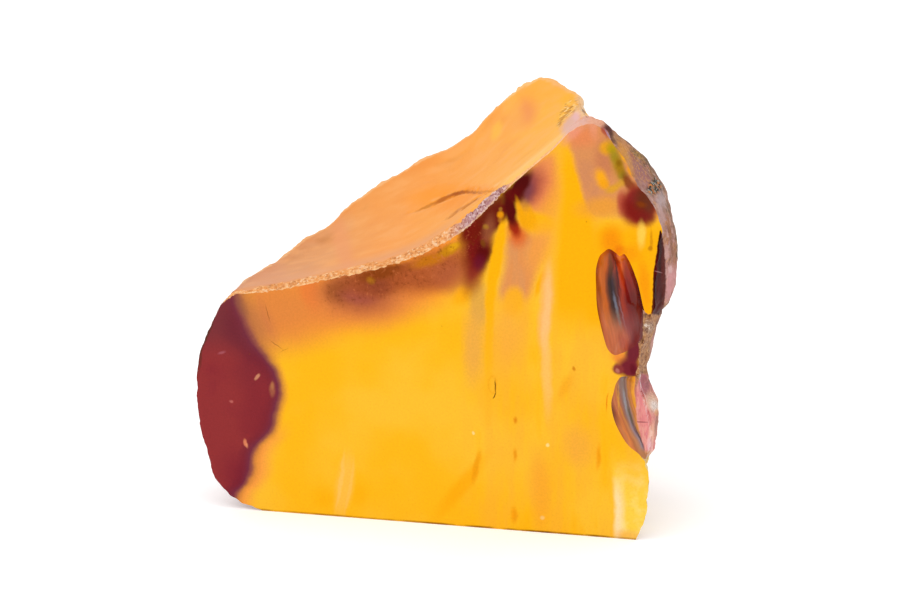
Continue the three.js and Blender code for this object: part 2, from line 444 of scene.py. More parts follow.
def parts_of(points, normals):
    """How much each point belongs to each part of the stone, from 0 to 1."""
    u, y, z = points.T
    front = np.stack([u, z], axis=1)
    to_arris = np.hypot(gap(front, ARRIS)[0], np.maximum(y, 0))
    uneven = 1 - 0.55 * step(u, 40, 44)
    width = band_width(u) * (1 + uneven * (0.3 * lumps(points, 2.2, 5) + 0.15 * lumps(points, 0.7, 6)))
    chipped = 1 - step(to_arris, width - 0.25, width + 0.25)
    in_upper = step(depth_inside(front, UPPER_SCAR), -1.3, -1.0) * (y < 4.2) * (z > 28.6) * (u < 73.3)
    in_lower = step(depth_inside(front, LOWER_SCAR), -1.3, -1.0) * (y < 3.2) * (u < 74)
    top = step(normals[:, 2], 0.12, 0.3) * step(61.5 + 0.35 * y - u, -1.2, 0.8) * step(u, 5, 7)
    top = top * step(z, 33, 34.5)
    crack = gap(points, CRACK)[0]
    side_crack = gap(points, SIDE_CRACK)[0]
    rim = gap(points[:, :2], BACK_EDGE)[0]
    skin = (1 - np.clip(top, 0, 1)) * (1 - in_upper) * (1 - in_lower)
    back = step(normals[:, 1], 0.3, 0.6) * step(y, 12, 18)
    return {
        "chipped": chipped * (z > 33), "upper": in_upper, "lower": in_lower, "top": top, "skin": skin,
        "crack": crack, "side_crack": side_crack, "rim": rim, "back": back, "to_arris": to_arris,
    }


def relief(points, normals):
    """How far the broken and weathered surface stands out at each point."""
    u, y, z = points.T
    part = parts_of(points, normals)
    smooth_top = part["top"] * (1 - part["chipped"])
    along = points * np.array((0.35, 1.0, 0.6))
    waves = 0.17 * lumps(points, 9, 11) + 0.03 * rough(along, 2.8, 2, 12) + 0.014 * lumps(points, 0.8, 13)
    rise = smooth_top * waves
    grains = 0.10 * lumps(points, 0.75, 21) + 0.10 * lumps(points, 0.4, 22) + 0.06 * lumps(points, 0.24, 23)
    rise = rise + part["chipped"] * (grains - 0.05) * (1 - 0.75 * step(u, 50, 52))
    crumbly = np.exp(-((((points - (59, 18, 65)) / (1.6, 5, 1.8)) ** 2).sum(1) ** 2))
    rise = rise + crumbly * (0.16 * lumps(points, 1.1, 24) + 0.10 * lumps(points, 0.5, 25))
    nicks = step(lumps(points, 4.4, 31), -0.25, 0.45) + 0.3 * step(lumps(points, 1.9, 32), 0.0, 0.6)
    nicks = nicks + (0.65 - nicks) * step(u, 40, 44)
    nicks = 0.45 + 0.6 * (nicks - 0.45)
    rise = rise + (0.5 - 0.42 * nicks) * np.exp(-((part["rim"] / 1.8) ** 2)) * (y > 2) * step(z, 34, 38)
    skin = part["skin"] * (1 - 0.4 * part["back"])
    knobs = 0.22 * rough(points, 3.4, 3, 41) + 0.09 * rough(points, 0.9, 2, 42)
    knobs = knobs - 0.14 * step(ridges(points, 1.6, 2, 43), 0.85, 1.0)
    pit = np.exp(-(((u - 74.0) / 1.3) ** 2 + ((z - 56.0) / 1.1) ** 2)) * (y < 9)
    knobs = knobs - pit * (0.25 + 0.3 * lumps(points, 0.6, 44))
    rise = rise + skin * knobs
    bent = points + 1.6 * np.stack([lumps(points, 5, seed) for seed in (52, 53, 54)], axis=1)
    flakes = 0.95 * bowls(bent, 13, 55) + 0.22 * bowls(bent, 4.5, 56) * step(lumps(points, 9, 57), -0.2, 0.3)
    rise = rise + part["back"] * (flakes - 0.45)
    ripple = np.sin((u * 1.1 + z * 0.45) * 3.1) * 0.03
    rise = rise + part["upper"] * ripple + part["lower"] * ripple
    strong = 0.16 + 0.34 * step(u, 33, 38) * (1 - step(u, 44, 49))
    deep = strong * np.exp(-((part["crack"] / 0.42) ** 2))
    deep = deep + 0.22 * np.exp(-((part["side_crack"] / 0.26) ** 2))
    return rise - part["top"] * deep


def shaped():
    """The stone's finished surface as one closed mesh in millimetres."""
    mesh = evened(stone_with_spare())
    points, faces = arrays(mesh)
    points = keep_edges(points, faces, 6, 0.4)
    points = relax(points, faces, 1, np.full(len(points), 0.5))
    move(mesh, points)

    def near_arris(p, reach, deep):
        return (gap(p[:, ::2], ARRIS)[0] < reach) & (p[:, 1] < deep) & (p[:, 1] > -0.45)

    def near_rest(p):
        right = (p[:, 0] > 64) & (p[:, 1] < 6.5) & (p[:, 1] > -0.45)
        rim = (gap(p[:, :2], BACK_EDGE)[0] < 1.8) & (p[:, 2] > 34) & (p[:, 1] > 2)
        edge = (np.abs(p[:, 1]) < 0.7) & ((p[:, 2] < 60) | (p[:, 0] > 60))
        outline = (p[:, 0] < 66) & edge & ((p[:, 0] < 6) | (p[:, 2] < 4))
        scars = (depth_inside(p[:, ::2], UPPER_SCAR) > -0.8) | (depth_inside(p[:, ::2], LOWER_SCAR) > -0.8)
        return right | rim | outline | (gap(p, CRACK)[0] < 1.6) | (scars & (p[:, 1] < 4))

    refined(mesh, lambda p: near_rest(p) | near_arris(p, 3.4, 3.8))
    refined(mesh, lambda p: near_arris(p, 2.8, 3.0) | (gap(p, CRACK)[0] < 0.9))
    points, faces = arrays(mesh)
    points = relax(points, faces, 2, np.full(len(points), 0.4))
    points = hollowed(points)
    for middle, reach, push in PUSHES:
        near = np.exp(-((((points - middle) / reach) ** 2).sum(1) ** 2))
        points = points + near[:, None] * push
    normals = point_normals(points, faces)
    points = points + normals * relief(points, normals)[:, None]
    move(mesh, points)

    work = bmesh.new()
    work.from_mesh(mesh)
    cut_flat(work, 1)
    cut_flat(work, 2)
    bmesh.ops.holes_fill(work, edges=[e for e in work.edges if e.is_boundary])
    bmesh.ops.triangulate(work, faces=[f for f in work.faces if len(f.verts) > 3])
    bmesh.ops.recalc_face_normals(work, faces=work.faces)
    work.to_mesh(mesh)
    work.free()
    return mesh


# ---------------- ways to paint


# How bright the studio light makes a white surface, and the haze that its reflection adds.
LIT = 1.2
HAZE = 0.01
# Marks laid out on the front plane reach the surfaces behind it along lines from this fixed point (mm).
SPREAD_FROM = (152.5, -424.3, 137.9)
PAST_END = 80             # a u beyond the right end of the stone
ON_FRONT = (1, 0, 1)      # keeps the u and z of a place and drops its depth
HALF = (0.5, 0.5, 0.5)    # the middle value of cloudy noise


def tint(code):
    """The stone's own colour, from the six-letter colour that it shows in the studio light."""
    parts = [int(code[i : i + 2], 16) / 255 for i in (0, 2, 4)]
    shown = [c / 12.92 if c < 0.04045 else ((c + 0.055) / 1.055) ** 2.4 for c in parts]
    return [max(c / LIT - HAZE, 0.001) for c in shown] + [1.0]


def add(tree, kind, inputs, **settings):
    """A new node with its settings, and its inputs set to numbers, six-letter colours or values."""
    node = tree.nodes.new("ShaderNode" + kind)
    for name, setting in settings.items():
        setattr(node, name, setting)
    for slot, given in inputs.items():
        if isinstance(given, Value):
            tree.links.new(given.socket, node.inputs[slot])
        else:
            node.inputs[slot].default_value = tint(given) if isinstance(given, str) else given
    return node


class Value:
    """A number, place or colour worked out by nodes, with short ways to make more from it."""

    def __init__(self, tree, socket):
        self.tree = tree
        self.socket = socket

    def node(self, kind, inputs, output=0, **settings):
        return Value(self.tree, add(self.tree, kind, inputs, **settings).outputs[output])

    def maths(self, operation, first, second, **settings):
        kind = "Math" if self.socket.type == "VALUE" else "VectorMath"
        return self.node(kind, {0: first, 1: second}, operation=operation, **settings)

    def __add__(self, other):
        return self.maths("ADD", self, other)

    def __radd__(self, other):
        return self.maths("ADD", other, self)

    def __sub__(self, other):
        return self.maths("SUBTRACT", self, other)

    def __rsub__(self, other):
        return self.maths("SUBTRACT", other, self)

    def __mul__(self, other):
        return self.maths("MULTIPLY", self, other)

    def __truediv__(self, other):
        return self.maths("DIVIDE", self, other)

    def most(self, other):
        return self.maths("MAXIMUM", self, other)

    def least(self, other):
        return self.maths("MINIMUM", self, other)

    def parts(self):
        """The three numbers of a place."""
        outputs = add(self.tree, "SeparateXYZ", {0: self}).outputs
        return [Value(self.tree, one) for one in outputs]

    def stored(self, name):
        """A number that was worked out for each point of the mesh."""
        return self.node("Attribute", {}, "Fac", attribute_name=name)

    def fade(self, start, end, low=0.0, high=1.0, curve="SMOOTHSTEP"):
        """Goes smoothly from low at start to high at end."""
        inputs = {"Value": self, "From Min": start, "From Max": end, "To Min": low, "To Max": high}
        return self.node("MapRange", inputs, interpolation_type=curve)

    def mix(self, other, share, blend="MIX"):
        """This colour with a share of another laid over it."""
        return self.node("Mix", {0: share, 6: self, 7: other}, 2, data_type="RGBA", blend_type=blend)

    def pick(self, first, second):
        """The first colour where this number is 0 and the second where it is 1."""
        return self.node("Mix", {0: self, 6: first, 7: second}, 2, data_type="RGBA")

    def tinted(self, by, *tints):
        """This colour with others laid over it, each up to a share where a number runs from start to end."""
        colour = self
        for code, start, end, share in tints:
            colour = colour.mix(code, by.fade(start, end, 0, share))
        return colour

    def shaded(self, shade):
        """This colour made darker or lighter by a number near 1."""
        grey = self.node("CombineColor", {0: shade, 1: shade, 2: shade})
        return self.mix(grey, 1.0, "MULTIPLY")

    def grain(self, size, detail=2.0, stretch=(1, 1, 1), seed=0, keep=0.5, colour=False):
        """Cloudy noise whose largest lumps have the given size."""
        scale = [1 / size / s for s in stretch]
        moved = self.node("Mapping", {0: self, 1: (seed * 13.7, seed * 5.3, seed * 9.1), 3: scale})
        inputs = {"Vector": moved, "Scale": 1.0, "Detail": detail, "Roughness": keep}
        return moved.node("TexNoise", inputs, 1 if colour else 0)

    def stray(self, size, detail, seed, reach, **settings):
        """A random shift along the front, of up to about half the given reach."""
        return (self.grain(size, detail, seed=seed, colour=True, **settings) - HALF) * (reach, 0, reach)

    def cells(self, size, seed=0):
        """Distance from the middle of cells of the given size."""
        moved = self.node("Mapping", {0: self, 1: (seed * 3.1, seed * 7.7, seed), 3: (1 / size,) * 3})
        return moved.node("TexVoronoi", {"Vector": moved, "Scale": 1.0}, "Distance", feature="F1")

    def grit(self, size, seed=0):
        """A different value from 0 to 1 in each small ragged grain."""
        ragged = self + self.grain(size, 2, seed=seed, colour=True) * (size, size, size)
        inputs = {"Vector": ragged, "Scale": 1 / size, "Randomness": 1.0}
        made = self.node("TexVoronoi", inputs, "Color", feature="F1")
        return self.node("SeparateColor", {0: made})

    def spot(self, u, z, half_u, half_z, lean=0.0, soft=0.3):
        """1 inside an oval on the front face and 0 outside it."""
        inputs = {0: self, 1: (u, 0, z), 2: (0, math.radians(lean), 0), 3: (half_u, 1, half_z)}
        inside = self.node("Mapping", inputs, vector_type="TEXTURE")
        far = self.node("VectorMath", {0: inside}, "Value", operation="LENGTH")
        return far.fade(1 + soft, max(1 - soft, 0))

    def line(self, points):
        """A smooth line through the given (value, result) points."""
        values = [p[0] for p in points]
        results = [p[1] for p in points]
        low, high = min(values), max(values)
        least, most = min(results) - 1e-3, max(results) + 1e-3
        node = add(self.tree, "FloatCurve", {"Value": self.fade(low, high, curve="LINEAR")})
        curve = node.mapping.curves[0]
        placed = sorted(((v - low) / (high - low), (r - least) / (most - least)) for v, r in points)
        curve.points[0].location = placed[0]
        curve.points[1].location = placed[-1]
        for spot in placed[1:-1]:
            curve.points.new(*spot)
        node.mapping.update()
        return Value(self.tree, node.outputs[0]).fade(0.0, 1.0, least, most, "LINEAR")

    def ramp_and_strength(self, *stops):
        """Colour and strength along a scale: stops are (value, colour) or (value, colour, strength)."""
        low, high = stops[0][0], stops[-1][0]
        node = add(self.tree, "ValToRGB", {0: self.fade(low, high, curve="LINEAR")})
        elements = node.color_ramp.elements
        while len(elements) < len(stops):
            elements.new(0.5)
        for element, stop in zip(elements, stops):
            element.position = (stop[0] - low) / (high - low)
        for element, stop in zip(elements, stops):
            strength = stop[2] if len(stop) > 2 else 1.0
            element.color = tint(stop[1])[:3] + [strength]
        return Value(self.tree, node.outputs[0]), Value(self.tree, node.outputs[1])

    def ramp(self, *stops):
        """Colour along a scale: stops are (value, colour)."""
        return self.ramp_and_strength(*stops)[0]


def material(name):
    """A new material, as (material, shader, place in millimetres)."""
    made = bpy.data.materials.new(name)
    made.use_nodes = True
    tree = made.node_tree
    where = Value(tree, tree.nodes.new("ShaderNodeTexCoord").outputs["Object"])
    return made, tree.nodes["Principled BSDF"], (where - tuple(LOW)) * (MM, MM, MM)


def finish_surface(shader, colour, roughness, bump, reach, specular):
    """Joins colour, roughness and bump (in millimetres) to the shader."""
    tree = shader.id_data
    tree.links.new(colour.socket, shader.inputs["Base Color"])
    if isinstance(roughness, Value):
        tree.links.new(roughness.socket, shader.inputs["Roughness"])
    else:
        shader.inputs["Roughness"].default_value = roughness
    shader.inputs["Specular IOR Level"].default_value = specular
    node = add(tree, "Bump", {"Strength": 1.0, "Distance": reach / MM, "Height": bump})
    tree.links.new(node.outputs[0], shader.inputs["Normal"])


def put_spots(colour, flat, spots, share=None):
    """Lays oval spots over a colour."""
    for u, z, half_u, half_z, lean, soft, code, strength in spots:
        here = flat.spot(u, z, half_u, half_z, lean, soft) * strength
        if share is not None:
            here = here * share
        colour = colour.mix(code, here)
        # waiting for this colour makes the renderer work the spots out one at a time
        flat = flat.node("VectorMath", {0: colour, 1: (1e-7,) * 3, 2: flat}, operation="MULTIPLY_ADD")
    return colour


def between(across, up, left, right, soft, ends=0.5):
    """1 between two lines given as (z, u), fading at their sides and ends.

    The right line may be one u for all the heights of the left one.
    """
    low = min(p[0] for p in left)
    high = max(p[0] for p in left)
    if not isinstance(right, list):
        right = [(p[0], right) for p in left]
    from_left = across - up.line(left)
    from_right = up.line(right) - across
    inside = from_left.least(from_right).fade(-soft, soft)
    return inside * up.fade(low, low + ends) * up.fade(high, high - ends)


def slanted(place):
    """The point of the front plane whose mark a place further back carries."""
    back = place.parts()[1]
    share = back / (back + -SPREAD_FROM[1])
    apart = place.node("CombineXYZ", {0: share, 1: 0.0, 2: share})
    return place.node("VectorMath", {0: SPREAD_FROM - place, 1: apart, 2: place}, operation="MULTIPLY_ADD")


def jasper(group, place):
    """The jasper's colour at a place, and how far the place lies in the dark red end."""
    node = add(place.tree, "Group", {"Place": place}, node_tree=group)
    return Value(place.tree, node.outputs["Colour"]), Value(place.tree, node.outputs["Red"])


# ---------------- the jasper's own pattern

# Tables of oval spots: u, z, half sizes along them, lean to the right in degrees, softness,
# colour, strength. Later spots lie over earlier ones.

# Warm stone above the dark red end of the sawn face.
END_CLOUDS = ((13, 33.5, 8, 5.5, 0, 0.8, "de8746", 0.85), (10.4, 31, 2, 4.6, -24, 0.8, "c8784c", 0.75))

# Soft and dark spots in the rest of the sawn face.
CLOUDS = (
    # the orange and brown cloud under the chipped edge
    (19, 37.2, 3.2, 1.5, 78, 0.6, "ee7f3c", 0.8), (28, 36.4, 8.5, 4.2, -8, 0.6, "d97f48", 0.8),
    (27, 37.2, 5, 3, 2, 0.75, "a9583f", 0.95), (23.8, 37.2, 2, 1.9, 0, 0.8, "9a542f", 0.8),
    (27, 36.6, 2.6, 1.2, 0, 0.7, "a8564a", 0.7), (31.5, 39.4, 6.5, 2.3, -14, 0.45, "a2512f", 0.95),
    (30, 38.4, 2.4, 1.2, 0, 0.7, "8f4734", 0.6), (31.5, 40.6, 5, 1, -15, 0.5, "86420f", 0.8),
    (39.5, 41.4, 6.4, 3, -24, 0.5, "b05a34", 0.95), (42.4, 40.6, 3, 2.4, -10, 0.7, "b4603f", 0.7),
    (29, 39.1, 0.6, 0.5, 0, 0.7, "bb7c24", 0.6), (38.6, 42.9, 0.85, 2.8, 68, 0.6, "c9781f", 0.85),
    (42, 44.9, 0.75, 2, 66, 0.5, "c8861c", 0.9), (42.7, 45.4, 0.5, 1, 60, 0.5, "e6a424", 0.9),
    # the grey and yellow stone beside the dark red cloud
    (46.6, 36.5, 1.3, 3.6, 0, 0.5, "dba450", 0.75), (43.8, 37.5, 1.6, 1.1, -50, 0.6, "ffae20", 0.8),
    # the dark red cloud and its tail
    (45.8, 41.6, 1.4, 3.4, 12, 0.8, "8f322c", 0.95), (46.4, 45.6, 2.4, 3.9, 14, 0.5, "7a2422", 1),
    (46, 48.4, 1.5, 3.1, 47, 0.4, "76241e", 1), (49, 50.3, 1.6, 3.4, 45, 0.35, "6e261c", 1),
    (48.7, 51.8, 0.9, 3.2, 46, 0.5, "6e2a20", 0.95), (47.3, 44.7, 1.2, 1.8, 8, 0.6, "5f0d16", 0.95),
    (46.7, 42.9, 0.9, 1.3, 10, 0.7, "6c2232", 0.8), (48.1, 48.4, 0.9, 2, 12, 0.7, "97573c", 0.75),
    (47.3, 46.3, 0.4, 0.5, 0, 0.6, "7e4a1c", 0.7), (47.6, 48.9, 0.45, 0.4, 0, 0.6, "b07e30", 0.7),
    (50, 50.8, 0.55, 0.5, 20, 0.5, "e8961c", 0.95), (50, 51.6, 0.3, 0.3, 0, 0.6, "b07a30", 0.7),
    (49.9, 50, 0.35, 0.4, 0, 0.6, "c88030", 0.6),
    # the stone between the dark fingers and the yellow band
    (57.3, 54.6, 1.9, 5.6, 10, 0.7, "f4a044", 0.9), (55.8, 55.6, 2, 4.4, 22, 0.55, "e58355", 0.95),
    (56.6, 58.6, 0.9, 2.2, 48, 0.7, "ee9058", 0.7), (55, 55.6, 1.6, 2.8, 22, 0.7, "a85046", 0.9),
    (55.8, 49.8, 2.5, 1.6, 0, 0.4, "ffb610", 0.9), (54.3, 51, 1.2, 2.6, -22, 0.4, "f6a812", 0.9),
    # the two dark fingers
    (52.8, 47.6, 1.4, 1.8, -24, 0.8, "dd6434", 0.9), (52.3, 49, 0.85, 1.7, -16, 0.5, "a02c20", 0.95),
    (51.6, 51.6, 0.95, 2.5, -18, 0.4, "5a1214", 1), (54.3, 54.7, 1.1, 2.2, 14, 0.8, "74404c", 0.85),
    (53, 55.4, 1.15, 2.9, 36, 0.4, "56141c", 1), (52.9, 54, 0.9, 1.5, 20, 0.6, "5c1216", 0.9),
    (51.7, 53.9, 1.2, 1.2, 40, 0.4, "641c1a", 0.95), (53.4, 50.9, 0.42, 2.4, -20, 0.6, "f4a610", 0.9),
    # small yellow patches in the pinkish stone
    (52.2, 37.2, 1.5, 2.3, 6, 0.4, "ffb41e", 0.85), (56.5, 40.3, 0.55, 2.2, 22, 0.4, "ffae10", 0.9),
    # the pale streak
    (57.3, 36.2, 1, 6.6, 4, 0.5, "ffb968", 0.9), (57.4, 35, 0.55, 6.6, 3, 0.6, "ffc888", 0.6),
    (57.6, 26, 0.7, 5.5, -2, 0.7, "ffc36c", 0.75), (56.2, 45.6, 1.6, 3.5, 14, 0.7, "f7a348", 0.7),
    # tints low in the yellow
    (45.8, 29.5, 1.5, 5.5, 0, 0.7, "eaa954", 0.7), (51.5, 32, 2.6, 5, 0, 0.7, "f6a94c", 0.5),
    (62.6, 14.5, 2, 3, 0, 0.7, "f5ac44", 0.7), (56.8, 7, 1.4, 6, 0, 0.7, "f9a83a", 0.7),
    (21, 3, 1.6, 1.6, 0, 0.8, "ffb40a", 0.7), (27, 3.8, 1.4, 1.6, 0, 0.8, "ffb40a", 0.7),
    (24.4, 5.2, 1.35, 5, 9, 0.45, "ffc258", 0.6), (23.8, 6, 0.3, 4.2, 9, 0.5, "ffca6c", 0.5),
    (25.3, 5, 0.25, 4.4, 9, 0.5, "ffc664", 0.4), (43.8, 6.5, 1.1, 6, 38, 0.6, "ffae06", 0.8),
    (46.4, 10, 0.5, 2.6, 14, 0.5, "f09c08", 0.75), (52.6, 18.1, 0.28, 0.5, 0, 0.8, "e08410", 0.85),
    (52.6, 12.3, 0.28, 0.9, 0, 0.8, "ec930c", 0.8), (52.5, 2.6, 0.5, 1.2, 0, 0.7, "f29a0c", 0.8),
    (65.9, 13, 0.35, 1.7, 4, 0.7, "f49c1c", 0.8), (67.3, 22, 0.12, 1.4, 4, 0.5, "ee8a10", 0.9),
    (60.5, 24, 0.7, 2, 24, 0.7, "f8a62c", 0.6), (61.8, 27, 0.25, 0.35, 0, 0.5, "d07d10", 0.8),
    (57.7, 14.4, 0.28, 0.25, 0, 0.4, "ffe090", 0.9), (45.6, 15.6, 0.22, 0.2, 0, 0.4, "ffdf96", 0.8),
    (57, 2.6, 0.35, 0.3, 0, 0.4, "ffd58a", 0.6),
)

# Spots near the right end of the sawn face, laid over the pinkish band.
RIGHT_SPOTS = (
    (66, 52.8, 3.4, 1.5, -8, 0.7, "efa03c", 0.85), (62.6, 63.6, 2.4, 1.6, 0, 0.8, "e98a58", 0.9),
    (61.4, 64.2, 0.8, 0.7, 0, 0.8, "ee7e58", 0.8), (61.4, 64, 0.7, 1.9, 44, 0.8, "f0a282", 0.65),
    (64.2, 65.7, 2, 0.7, 76, 0.8, "ee9c7c", 0.65), (66.3, 60, 1.4, 3, 0, 0.6, "c87b55", 0.7),
    (66.7, 62, 1.2, 1.1, -40, 0.5, "eba325", 0.9), (68, 60.4, 1, 3, -10, 0.6, "c08c34", 0.85),
    (67.4, 61.9, 0.7, 0.8, 0, 0.6, "bf9c1c", 0.85), (67.9, 60.4, 0.6, 1.3, -10, 0.8, "9a8a26", 0.75),
    (68.7, 58.8, 0.8, 1.5, -14, 0.6, "a4781c", 0.9), (68.5, 59.6, 0.45, 0.4, 0, 0.7, "8c601a", 0.7),
    (69.2, 57.7, 0.7, 0.6, 0, 0.8, "94862a", 0.7), (68.9, 56.6, 0.9, 0.5, -20, 0.7, "d8a02c", 0.7),
    (65.8, 57.3, 0.75, 1.25, -24, 0.7, "ffae16", 0.9), (66.4, 56.3, 0.7, 0.7, 0, 0.6, "f6a41c", 0.8),
    (67.6, 55.7, 1.1, 0.6, -24, 0.6, "e2a22c", 0.85), (69.4, 60.9, 0.6, 1.2, -20, 0.5, "f2a820", 0.9),
    (66.3, 64.5, 0.35, 1, -30, 0.6, "a8423c", 0.8), (70.4, 58.5, 0.5, 0.8, -20, 0.5, "ee9c24", 0.85),
    (70.2, 56.6, 0.7, 1.7, -34, 0.5, "80381f", 0.85), (69, 53.6, 0.6, 1.7, 0, 0.6, "c05a48", 0.8),
    (71.7, 53.2, 2.9, 3, -14, 0.35, "a83e34", 0.95), (71.9, 53.1, 2.5, 2.6, -14, 0.35, "832824", 1),
    (71.2, 54.6, 1.2, 0.9, -20, 0.7, "903030", 0.7), (72.7, 54.3, 1.6, 1.7, -30, 0.7, "683626", 0.9),
    (73.4, 53.2, 0.7, 1.6, -10, 0.7, "6c3a2c", 0.7), (72.9, 51.4, 1.1, 0.9, 30, 0.7, "7a2c28", 0.7),
    (72.2, 53.4, 0.8, 0.4, 10, 0.7, "86401a", 0.8), (67.6, 47.6, 1.5, 2, 0, 0.8, "f88e08", 0.8),
    (68.9, 46, 0.8, 0.9, 0, 0.8, "ee780c", 0.85), (70.4, 45.6, 1.6, 1.2, -30, 0.8, "fb9a08", 0.7),
    (72.8, 41, 0.8, 3.5, -6, 0.7, "fb9904", 0.8), (72.2, 48.8, 0.6, 1.8, 0, 0.6, "ffd157", 0.85),
    (73.7, 48.2, 0.22, 1.4, 0, 0.6, "d08a10", 0.7), (73.6, 46.8, 0.3, 0.4, 0, 0.5, "b87410", 0.7),
    (69.4, 29, 1.6, 1, 20, 0.5, "f08c40", 0.85), (71.3, 31.4, 1.3, 4.6, 4, 0.4, "773038", 1),
    (70.6, 27.7, 1.9, 1.5, 0, 0.4, "792d36", 1), (68.8, 27.4, 0.9, 0.75, -20, 0.35, "8e3c3c", 0.95),
    (68.7, 27.2, 0.3, 0.35, 0, 0.5, "c47a6a", 0.8), (71.2, 27.6, 0.5, 0.8, 0, 0.6, "5e2028", 0.6),
)

# The low right corner of the sawn face.
CORNER_MARKS = (
    (71, 0.2, 2.2, 1.1, 0, 0.7, "f8b040", 0.7), (74.15, 8.2, 0.16, 1.5, 0, 0.5, "7a5036", 0.85),
)

# Stains and the lines of the crack on the broken top; the dark crack lines are partly painted shade on the
# small step along it.
TOP_MARKS = (
    (5.4, 36, 1.5, 1.4, 50, 0.6, "c4826c", 0.75), (7.6, 38, 0.9, 2.6, 54, 0.7, "cd8a66", 0.6),
    (12, 40, 5, 2.4, 60, 0.7, "e0976a", 0.6), (24.5, 44.8, 5.5, 1.3, 76, 0.7, "f09a62", 0.6),
    (21.5, 49.2, 1.6, 4, 52, 0.7, "f59c48", 0.6), (36, 57.6, 1, 4.5, 68, 0.6, "f39640", 0.55),
    (53.6, 66.6, 1.7, 2.3, 35, 0.7, "f08e52", 0.7), (49.4, 63.9, 0.7, 1.5, 20, 0.6, "ffc23a", 0.6),
    (51.5, 68.6, 4.5, 1.4, 70, 0.7, "ffb648", 0.6), (40, 53.4, 1.3, 4.6, 76, 0.8, "ff9a1a", 0.85),
    (43.5, 52.6, 1, 4, 66, 0.8, "fb921c", 0.6), (46.5, 54.6, 0.6, 3, 84, 0.8, "fb9c30", 0.6),
    # the dark lines of the crack: partly its colour and partly painted shade on its step
    (38.2, 51.4, 0.2, 1.7, 64, 0.5, "cf7c14", 0.8), (40.9, 52.75, 0.3, 1.6, 62, 0.5, "bf6a08", 0.9),
    (43.3, 53.8, 0.3, 1.5, 74, 0.5, "b46004", 0.95), (45.4, 54.05, 0.2, 1.3, 90, 0.5, "c4700a", 0.85),
    (47.6, 54.3, 0.15, 1.6, 84, 0.6, "d08636", 0.6), (43.6, 51.3, 0.18, 1.7, 58, 0.6, "d08240", 0.7),
    (45.8, 52.7, 0.14, 1.3, 60, 0.6, "cf8448", 0.6),
)

# The crumbled corner at the right end of the broken top.
PEAK_MARKS = (
    (61.1, 68.7, 1.5, 1.7, 40, 0.6, "fdb42c", 0.85), (59.7, 66.5, 0.7, 1.3, 35, 0.6, "ffb728", 0.8),
    (61, 65.5, 0.9, 1.9, 40, 0.5, "dfb0a8", 0.85), (62.1, 65.3, 0.7, 2.2, 54, 0.5, "e8b4a4", 0.9),
    (61.9, 66.8, 0.6, 0.8, 30, 0.6, "ecb6b8", 0.85), (62.7, 68.4, 0.5, 1.7, -8, 0.4, "f2d8b0", 0.95),
    (59.5, 65.7, 0.15, 0.9, 28, 0.5, "b4742c", 0.8), (60.3, 66.7, 0.15, 0.8, 48, 0.5, "b87230", 0.75),
    (61.2, 67.4, 0.13, 0.7, 62, 0.5, "b8703c", 0.75), (61.9, 67.9, 0.15, 0.7, 30, 0.5, "a87a50", 0.7),
    (62.3, 69, 0.13, 0.9, -6, 0.5, "a88460", 0.6), (63, 67.4, 0.12, 0.9, -32, 0.5, "96745a", 0.8),
)

# Patches of colour on the weathered skin behind the right of the front face.
SKIN_MARKS = (
    (66.2, 64.6, 0.5, 0.9, -30, 0.5, "a8443c", 0.8), (66.9, 65, 0.4, 1.3, -34, 0.4, "5a2a26", 0.95),
    (67.5, 63.6, 0.3, 1.1, -30, 0.5, "4a2422", 0.9), (66.8, 63.8, 0.2, 1, -30, 0.5, "b890a4", 0.8),
    (68.2, 63.4, 0.5, 1, -40, 0.6, "b8865c", 0.7), (69.6, 62.6, 0.8, 1, -40, 0.7, "d08a50", 0.8),
    (69.5, 61, 0.7, 1.6, -26, 0.6, "dc9438", 0.85), (70.4, 58.8, 0.6, 1.2, -20, 0.6, "eca040", 0.85),
    (71, 59.8, 0.8, 2, -32, 0.7, "a87058", 0.7), (71.2, 58.4, 0.5, 1, -30, 0.6, "c88252", 0.7),
    (70.7, 60.6, 0.25, 0.9, -20, 0.5, "a65a44", 0.7), (72.4, 58, 0.9, 1.8, -42, 0.7, "a87468", 0.7),
    (71.6, 61.2, 0.5, 0.7, -48, 0.6, "bb8e4a", 0.8), (72.6, 60.6, 0.3, 1.3, -48, 0.5, "7a5c34", 0.7),
    (74, 59.2, 0.4, 2.2, -38, 0.5, "5c4630", 0.8), (72, 56.4, 0.5, 1.2, -40, 0.7, "a87a72", 0.7),
    # the pale lilac spot at (75.2, 54.2) is partly the skin's colour and partly a painted highlight
    (74.6, 56.9, 0.5, 0.7, -40, 0.6, "96603e", 0.8), (75.2, 54.2, 0.7, 1.7, -12, 0.7, "bca4a4", 0.8),
    (76.4, 54, 0.35, 1.3, -8, 0.5, "8e6044", 0.7), (75.3, 51, 0.5, 1.8, 0, 0.6, "c8a098", 0.7),
    (74.3, 51.5, 0.35, 1.6, 0, 0.6, "b07a4c", 0.7), (76.9, 41.6, 0.7, 2.6, 8, 0.6, "dc9a9a", 0.85),
    (77.3, 45.6, 0.35, 1.8, 0, 0.6, "a87050", 0.7), (76.8, 43.6, 0.3, 0.6, 0, 0.6, "e0b4b0", 0.8),
    (70.2, 59.9, 0.5, 1.6, -22, 0.7, "d89a4c", 0.6), (72, 58.4, 0.9, 2.4, -38, 0.8, "a46c6c", 0.6),
    (76.5, 50, 0.22, 2.4, -7, 0.6, "a26c46", 0.75), (75.8, 48.4, 0.2, 1.8, -3, 0.6, "b47a50", 0.65),
    (76.9, 47.2, 0.2, 1.8, -6, 0.6, "8e6048", 0.65), (75.7, 52.9, 0.25, 0.9, -20, 0.6, "9c7058", 0.6),
    (76.2, 46.2, 0.25, 1.4, -4, 0.6, "d4a49c", 0.7),
)

